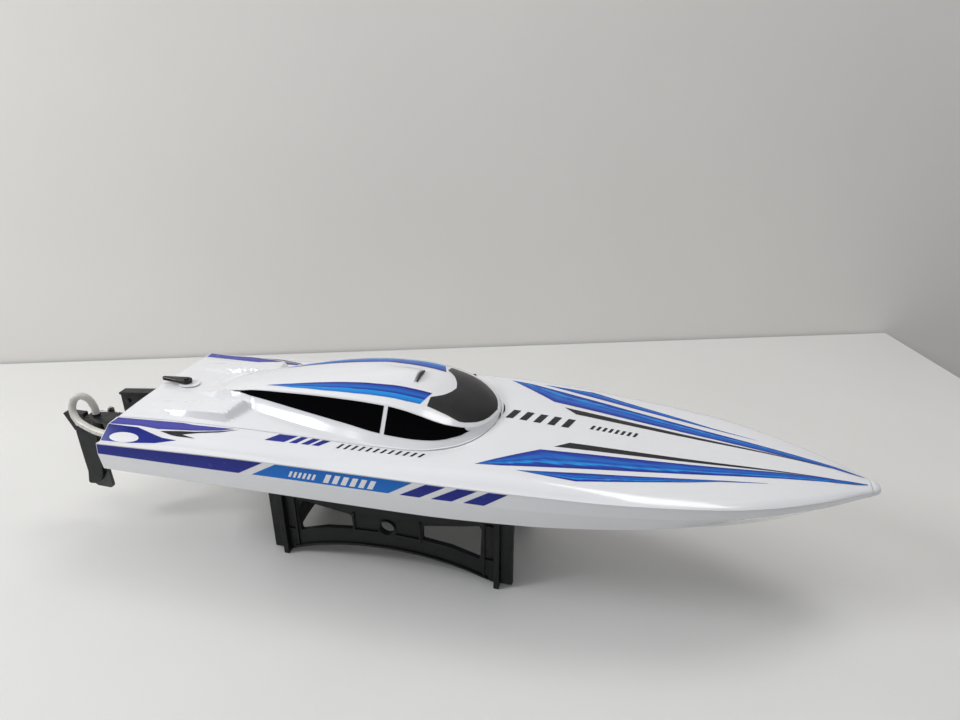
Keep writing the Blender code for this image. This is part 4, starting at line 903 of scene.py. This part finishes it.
# ---------------------------------------------------------------- stand relief
def flat_piece(name, outline, y0, y1, look, body, bevel=0.35):
    """Plate between two y values from an (x, z) outline, with rounded edges."""
    flat = [[Vector((x, z, 0.0)) for x, z in outline]]
    tris = tessellate_polygon(flat)
    n = len(outline)
    verts = [(x, y0, z) for x, z in outline] + [(x, y1, z) for x, z in outline]
    faces = [tuple(t) for t in tris] + [tuple(n + i for i in reversed(t)) for t in tris]
    faces += [(i, (i + 1) % n, n + (i + 1) % n, n + i) for i in range(n)]
    obj = make(name, verts, faces, look, body)
    bm = bmesh.new()
    bm.from_mesh(obj.data)
    bmesh.ops.dissolve_limit(bm, angle_limit=0.01, verts=bm.verts, edges=bm.edges)
    bm.to_mesh(obj.data)
    bm.free()
    return bevelled(obj, bevel)


def build_stand():
    for node_name in ("panel_port", "panel_starboard", "cradle_aft", "cradle_fore"):
        refined(node_name, "stand", LOOKS["stand"], 0.5)
    low_arch = curve((-97.5, -131.6), (-70, -122.9), (-48, -118.2), (-24, -115.2), (0, -114.2),
                     (24, -115.2), (48, -118.2), (70, -122.9), (97.5, -131.6))
    lens = curve((-92, -65.4), (-60, -72.4), (-30, -77.8), (0, -80.2), (30, -77.8), (60, -72.4),
                 (92, -65.4))
    for side, tag in ((1, "port"), (-1, "starboard")):
        y0 = side * (PANEL_Y + 0.5 * PLATE - 0.3)
        y1 = side * (PANEL_Y + 0.5 * PLATE + 1.7)

        def rib(name, outline, y0=y0, y1=y1, tag=tag):
            outline = [(STAND_MID + x, z) for x, z in outline]
            flat_piece("%s_%s" % (name, tag), outline, y0, y1, LOOKS["stand"], "stand", 0.3)
        xs = span(-94, 94, 6)
        rib("arch_rib", [(x, low_arch(x)) for x in xs] + [(x, low_arch(x) + 2.2) for x in xs[::-1]])
        xs = span(-91, 91, 6)
        rib("top_band", [(x, lens(x)) for x in xs] + [(x, -63.0) for x in xs[::-1]])
        for sign in (1, -1):
            end = "fore" if sign > 0 else "aft"
            rib("hole_rib_" + end, [(sign * x, z) for x, z in
                                    ((8.5, -96.0), (31.5, -97.4), (31.5, -99.0), (8.5, -97.6))])
            rib("mid_rib_" + end, [(sign * x, z) for x, z in
                                   ((30.8, -79.2), (32.4, -79.0), (32.4, -101.0), (30.8, -100.8))])
            rib("end_rib_" + end, [(sign * x, z) for x, z in
                                   ((89.2, -66.6), (91.0, -66.6), (91.0, -126.4), (89.2, -126.0))])
            step = ((91.2, 0.8), (98.2, 0.8), (98.2, -0.8), (91.2, -0.8))
            for k, z in enumerate((-72.0, -108.5)):
                rib("end_step_%s_%d" % (end, k + 1), [(sign * x, z + d) for x, d in step])
        ring = [(8.6 * math.cos(a), -91.0 + 8.6 * math.sin(a)) for a in np.linspace(0, 2 * math.pi, 33)]
        ring += [(7.1 * math.cos(a), -91.0 + 7.1 * math.sin(a)) for a in np.linspace(2 * math.pi, 0, 33)]
        rib("hole_ring", ring)


# ---------------------------------------------------------------- black hardware
def build_hardware():
    """Rounded stand-ins for the moulded and machined parts outside the hull."""
    for name in ("rudder_bracket", "drive_strut"):
        refined(name, "hull", LOOKS["nylon"], 0.7, 3)
    for name in ("rudder_head", "rudder_cheek", "tiller_arm"):
        refined(name, "rudder", LOOKS["nylon"], 0.45, 3)
    refined("rudder_blade", "rudder", LOOKS["prop"], 0.5, 3)
    refined("latch_lever", "latch", LOOKS["lever"], 1.1, 4)
    refined("latch_pad", "hatch", LOOKS["hatch"], 0.4, 2)
    refined("propeller", "drive", LOOKS["prop"], 0.25, 2)


def build_nose_cap():
    """Soft bumper over the bow tip, blunt and slightly flattened underneath."""
    start = NOSE_JOINT + 0.4
    reach = BOW_TIP - start
    rings = []
    for t in np.sin(np.linspace(0.0, 0.5 * math.pi, 12)) ** 0.9:
        f = max(math.sqrt(max(1.0 - t * t, 0.0)), 0.06)
        wide, top, low = 9.4 * max(f, 0.1), 4.8 * max(f, 0.1), 7.8 * max(f, 0.1)
        ring = []
        for a in np.linspace(0.0, 2.0 * math.pi, 33)[:-1]:
            c, s = math.cos(a), math.sin(a)
            y = wide * math.copysign(abs(c) ** 0.75, c) * (1.0 if s > 0 else 1.0 - 0.55 * abs(s))
            z = -16.2 + (top if s > 0 else low) * math.copysign(abs(s) ** 0.85, s)
            ring.append((start + reach * t * 0.985, y, z))
        rings.append(ring)
    n = len(rings[0])
    faces = ring_faces(len(rings), n)
    faces += [list(range(n)), list(range((len(rings) - 1) * n, len(rings) * n))]
    obj = make("nose_cap", [p for ring in rings for p in ring], faces, LOOKS["nose"], "hull", 0.8)
    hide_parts("bow_cap")


# ---------------------------------------------------------------- water tube
def spline(points, steps=10):
    """Catmull-Rom path through the points."""
    p = [Vector(q) for q in points]
    p = [p[0] * 2 - p[1]] + p + [p[-1] * 2 - p[-2]]
    out = []
    for a, b, c, d in zip(p, p[1:], p[2:], p[3:]):
        for s in range(steps):
            t = s / steps
            out.append(0.5 * ((2 * b) + (c - a) * t + (2 * a - 5 * b + 4 * c - d) * t * t
                              + (3 * b - a - 3 * c + d) * t ** 3))
    return out + [p[-2]]


def tube(name, path, radius, bore, look, body, n=20):
    """Hollow round tube along a path."""
    outer, inner = [], []
    d = (path[1] - path[0]).normalized()
    u = d.cross(Vector((0.13, 0.21, 0.97))).normalized()
    for i, q in enumerate(path):
        d = (path[min(i + 1, len(path) - 1)] - path[max(i - 1, 0)]).normalized()
        u = (u - d * u.dot(d)).normalized()
        v = d.cross(u)
        ring = [u * math.cos(2 * math.pi * k / n) + v * math.sin(2 * math.pi * k / n) for k in range(n)]
        outer.append([tuple(q + w * radius) for w in ring])
        inner.append([tuple(q + w * bore) for w in ring])
    rings = outer + inner[::-1]
    faces = ring_faces(len(rings), n, True)
    return make(name, [p for ring in rings for p in ring], faces, look, body, 1.0)


def build_water_tube():
    route = [(-40.0, -50.0, -10.2), (-40.3, -50.2, -3.0), (-42.8, -51.4, 5.0), (-48.2, -53.6, 9.0),
             (-53.8, -56.0, 6.6), (-56.4, -58.2, 0.0), (-54.2, -61.2, -6.8), (-47.0, -64.6, -11.8),
             (-36.0, -67.6, -14.6), (-24.0, -70.4, -16.0), (-12.0, -72.0, -16.5),
             (-1.9, -72.0, -16.5)]
    obj = tube("water_tube", spline(route, 10), TUBE_RADIUS, TUBE_BORE, LOOKS["tube"], "hull")
    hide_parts("cooling_tube")


# ---------------------------------------------------------------- small deck fittings
def build_fittings():
    """Painted shadow: a black film on the deck under the hatch's nose, where the gap shades it, and a small
    locating peg on the port deck.
    """
    # Painted shadow: black film laid where the hatch nose shades the gap in front of it.
    seam = [(336.9, 25.0), (338.6, 18.0), (339.9, 10.0), (340.3, 4.0)]
    outer = [(336.9, 25.0), (339.8, 18.2), (341.4, 10.0), (340.5, 4.0)]
    lay("nose_painted_shadow", seam, outer, on_deck, LOOKS["black_film"], "hull", 0.12, 2, 1.5, (1,))
    rings = []
    for rise, radius in ((-0.4, 1.7), (0.8, 1.7), (1.3, 1.4), (1.5, 0.9), (1.5, 0.05)):
        rings += [(296.0 + radius * math.cos(a), 80.0 + radius * math.sin(a), deck_z(296, 80) + rise)
                  for a in np.linspace(0, 2 * math.pi, 21)[:-1]]
    faces = ring_faces(5, 20)
    make("deck_peg", rings, faces + [list(range(20)), list(range(80, 100))], LOOKS["nylon"], "hull")


# ---------------------------------------------------------------- room, light and camera
def stage_plane(name, corners, look):
    mesh = bpy.data.meshes.new(name)
    mesh.from_pydata(corners, [], [(0, 1, 2, 3)])
    obj = linked(name, mesh)
    mesh.materials.append(look)


def see_through_behind(mat):
    """Lets a camera behind the wall look through it."""
    tree = mat.node_tree
    side = tree.nodes.new("ShaderNodeNewGeometry")
    clear = tree.nodes.new("ShaderNodeBsdfTransparent")
    mix = tree.nodes.new("ShaderNodeMixShader")
    tree.links.new(side.outputs["Backfacing"], mix.inputs[0])
    tree.links.new(tree.nodes["Principled BSDF"].outputs[0], mix.inputs[1])
    tree.links.new(clear.outputs[0], mix.inputs[2])
    tree.links.new(mix.outputs[0], tree.nodes["Material Output"].inputs["Surface"])


def area_light(name, place, target, size, watts, colour=(1.0, 1.0, 1.0)):
    data = bpy.data.lights.new(name, "AREA")
    data.shape = "RECTANGLE"
    data.size, data.size_y = size
    data.energy = watts
    data.color = colour
    obj = linked(name, data)
    obj.location = place
    obj.rotation_euler = (Vector(target) - Vector(place)).to_track_quat("-Z", "Y").to_euler()


def build_scene():
    table = plastic("table_white", (0.75, 0.75, 0.735), 0.42, 0.06, 0.02, 4.0, 300.0, 0.03)
    wall = plastic("wall_paint", (0.88, 0.855, 0.825), 0.8, 0.05, 0.02, 3.0, 160.0, 0.10)
    corner = Vector((TRANSOM + 0.859, 0.688, 0.0))
    back = Vector((-0.9476, -0.3195, 0.0))
    side = Vector((0.3195, -0.9476, 0.0))
    stage_plane("table_top", [corner, corner + back * 4.0, corner + back * 4.0 + side * 4.0,
                              corner + side * 4.0], table)
    low, high = Vector((0, 0, -1.2)), Vector((0, 0, 3.0))
    left, right = corner + back * 5.0 - side * 0.004, corner - back * 3.0 - side * 0.004
    see_through_behind(wall)
    stage_plane("wall", [left + low, right + low, right + high, left + high], wall)
    area_light("window_light", (-1.7, -0.85, 1.35), (0.05, 0.0, 0.05), (0.6, 0.6), 20.5, (0.98, 0.99, 1.0))
    area_light("back_lamp", (0.55, 0.45, 1.9), (0.0, 0.0, 0.05), (0.7, 0.7), 7.8, (1.0, 0.99, 0.97))
    area_light("ceiling_light", (-0.2, -0.3, 2.3), (0.0, 0.0, 0.05), (1.8, 1.8), 12, (1.0, 0.995, 0.98))
    world = bpy.data.worlds.new("room")
    world.use_nodes = True
    world.node_tree.nodes["Background"].inputs["Color"].default_value = (0.86, 0.87, 0.90, 1.0)
    world.node_tree.nodes["Background"].inputs["Strength"].default_value = 0.31
    bpy.context.scene.world = world
    bpy.context.scene.view_settings.view_transform = "Standard"


def build_camera():
    data = bpy.data.cameras.new("camera")
    data.lens = 25.80
    data.sensor_width = 36.0
    obj = linked("camera", data)
    obj.location = (TRANSOM + 0.445968, -0.519042, 0.441774)
    obj.rotation_euler = (0.5 * math.pi - 0.428725, 0.0, 0.23677)
    bpy.context.scene.camera = obj


build_camera()
build_scene()
build_hull()
build_deck()
build_hatch()
build_windows()
build_side_films()
build_shoulder_films()
build_stern_films()
build_bow_films()
build_roof_films()
build_stand()
build_hardware()
build_nose_cap()
build_water_tube()
build_fittings()
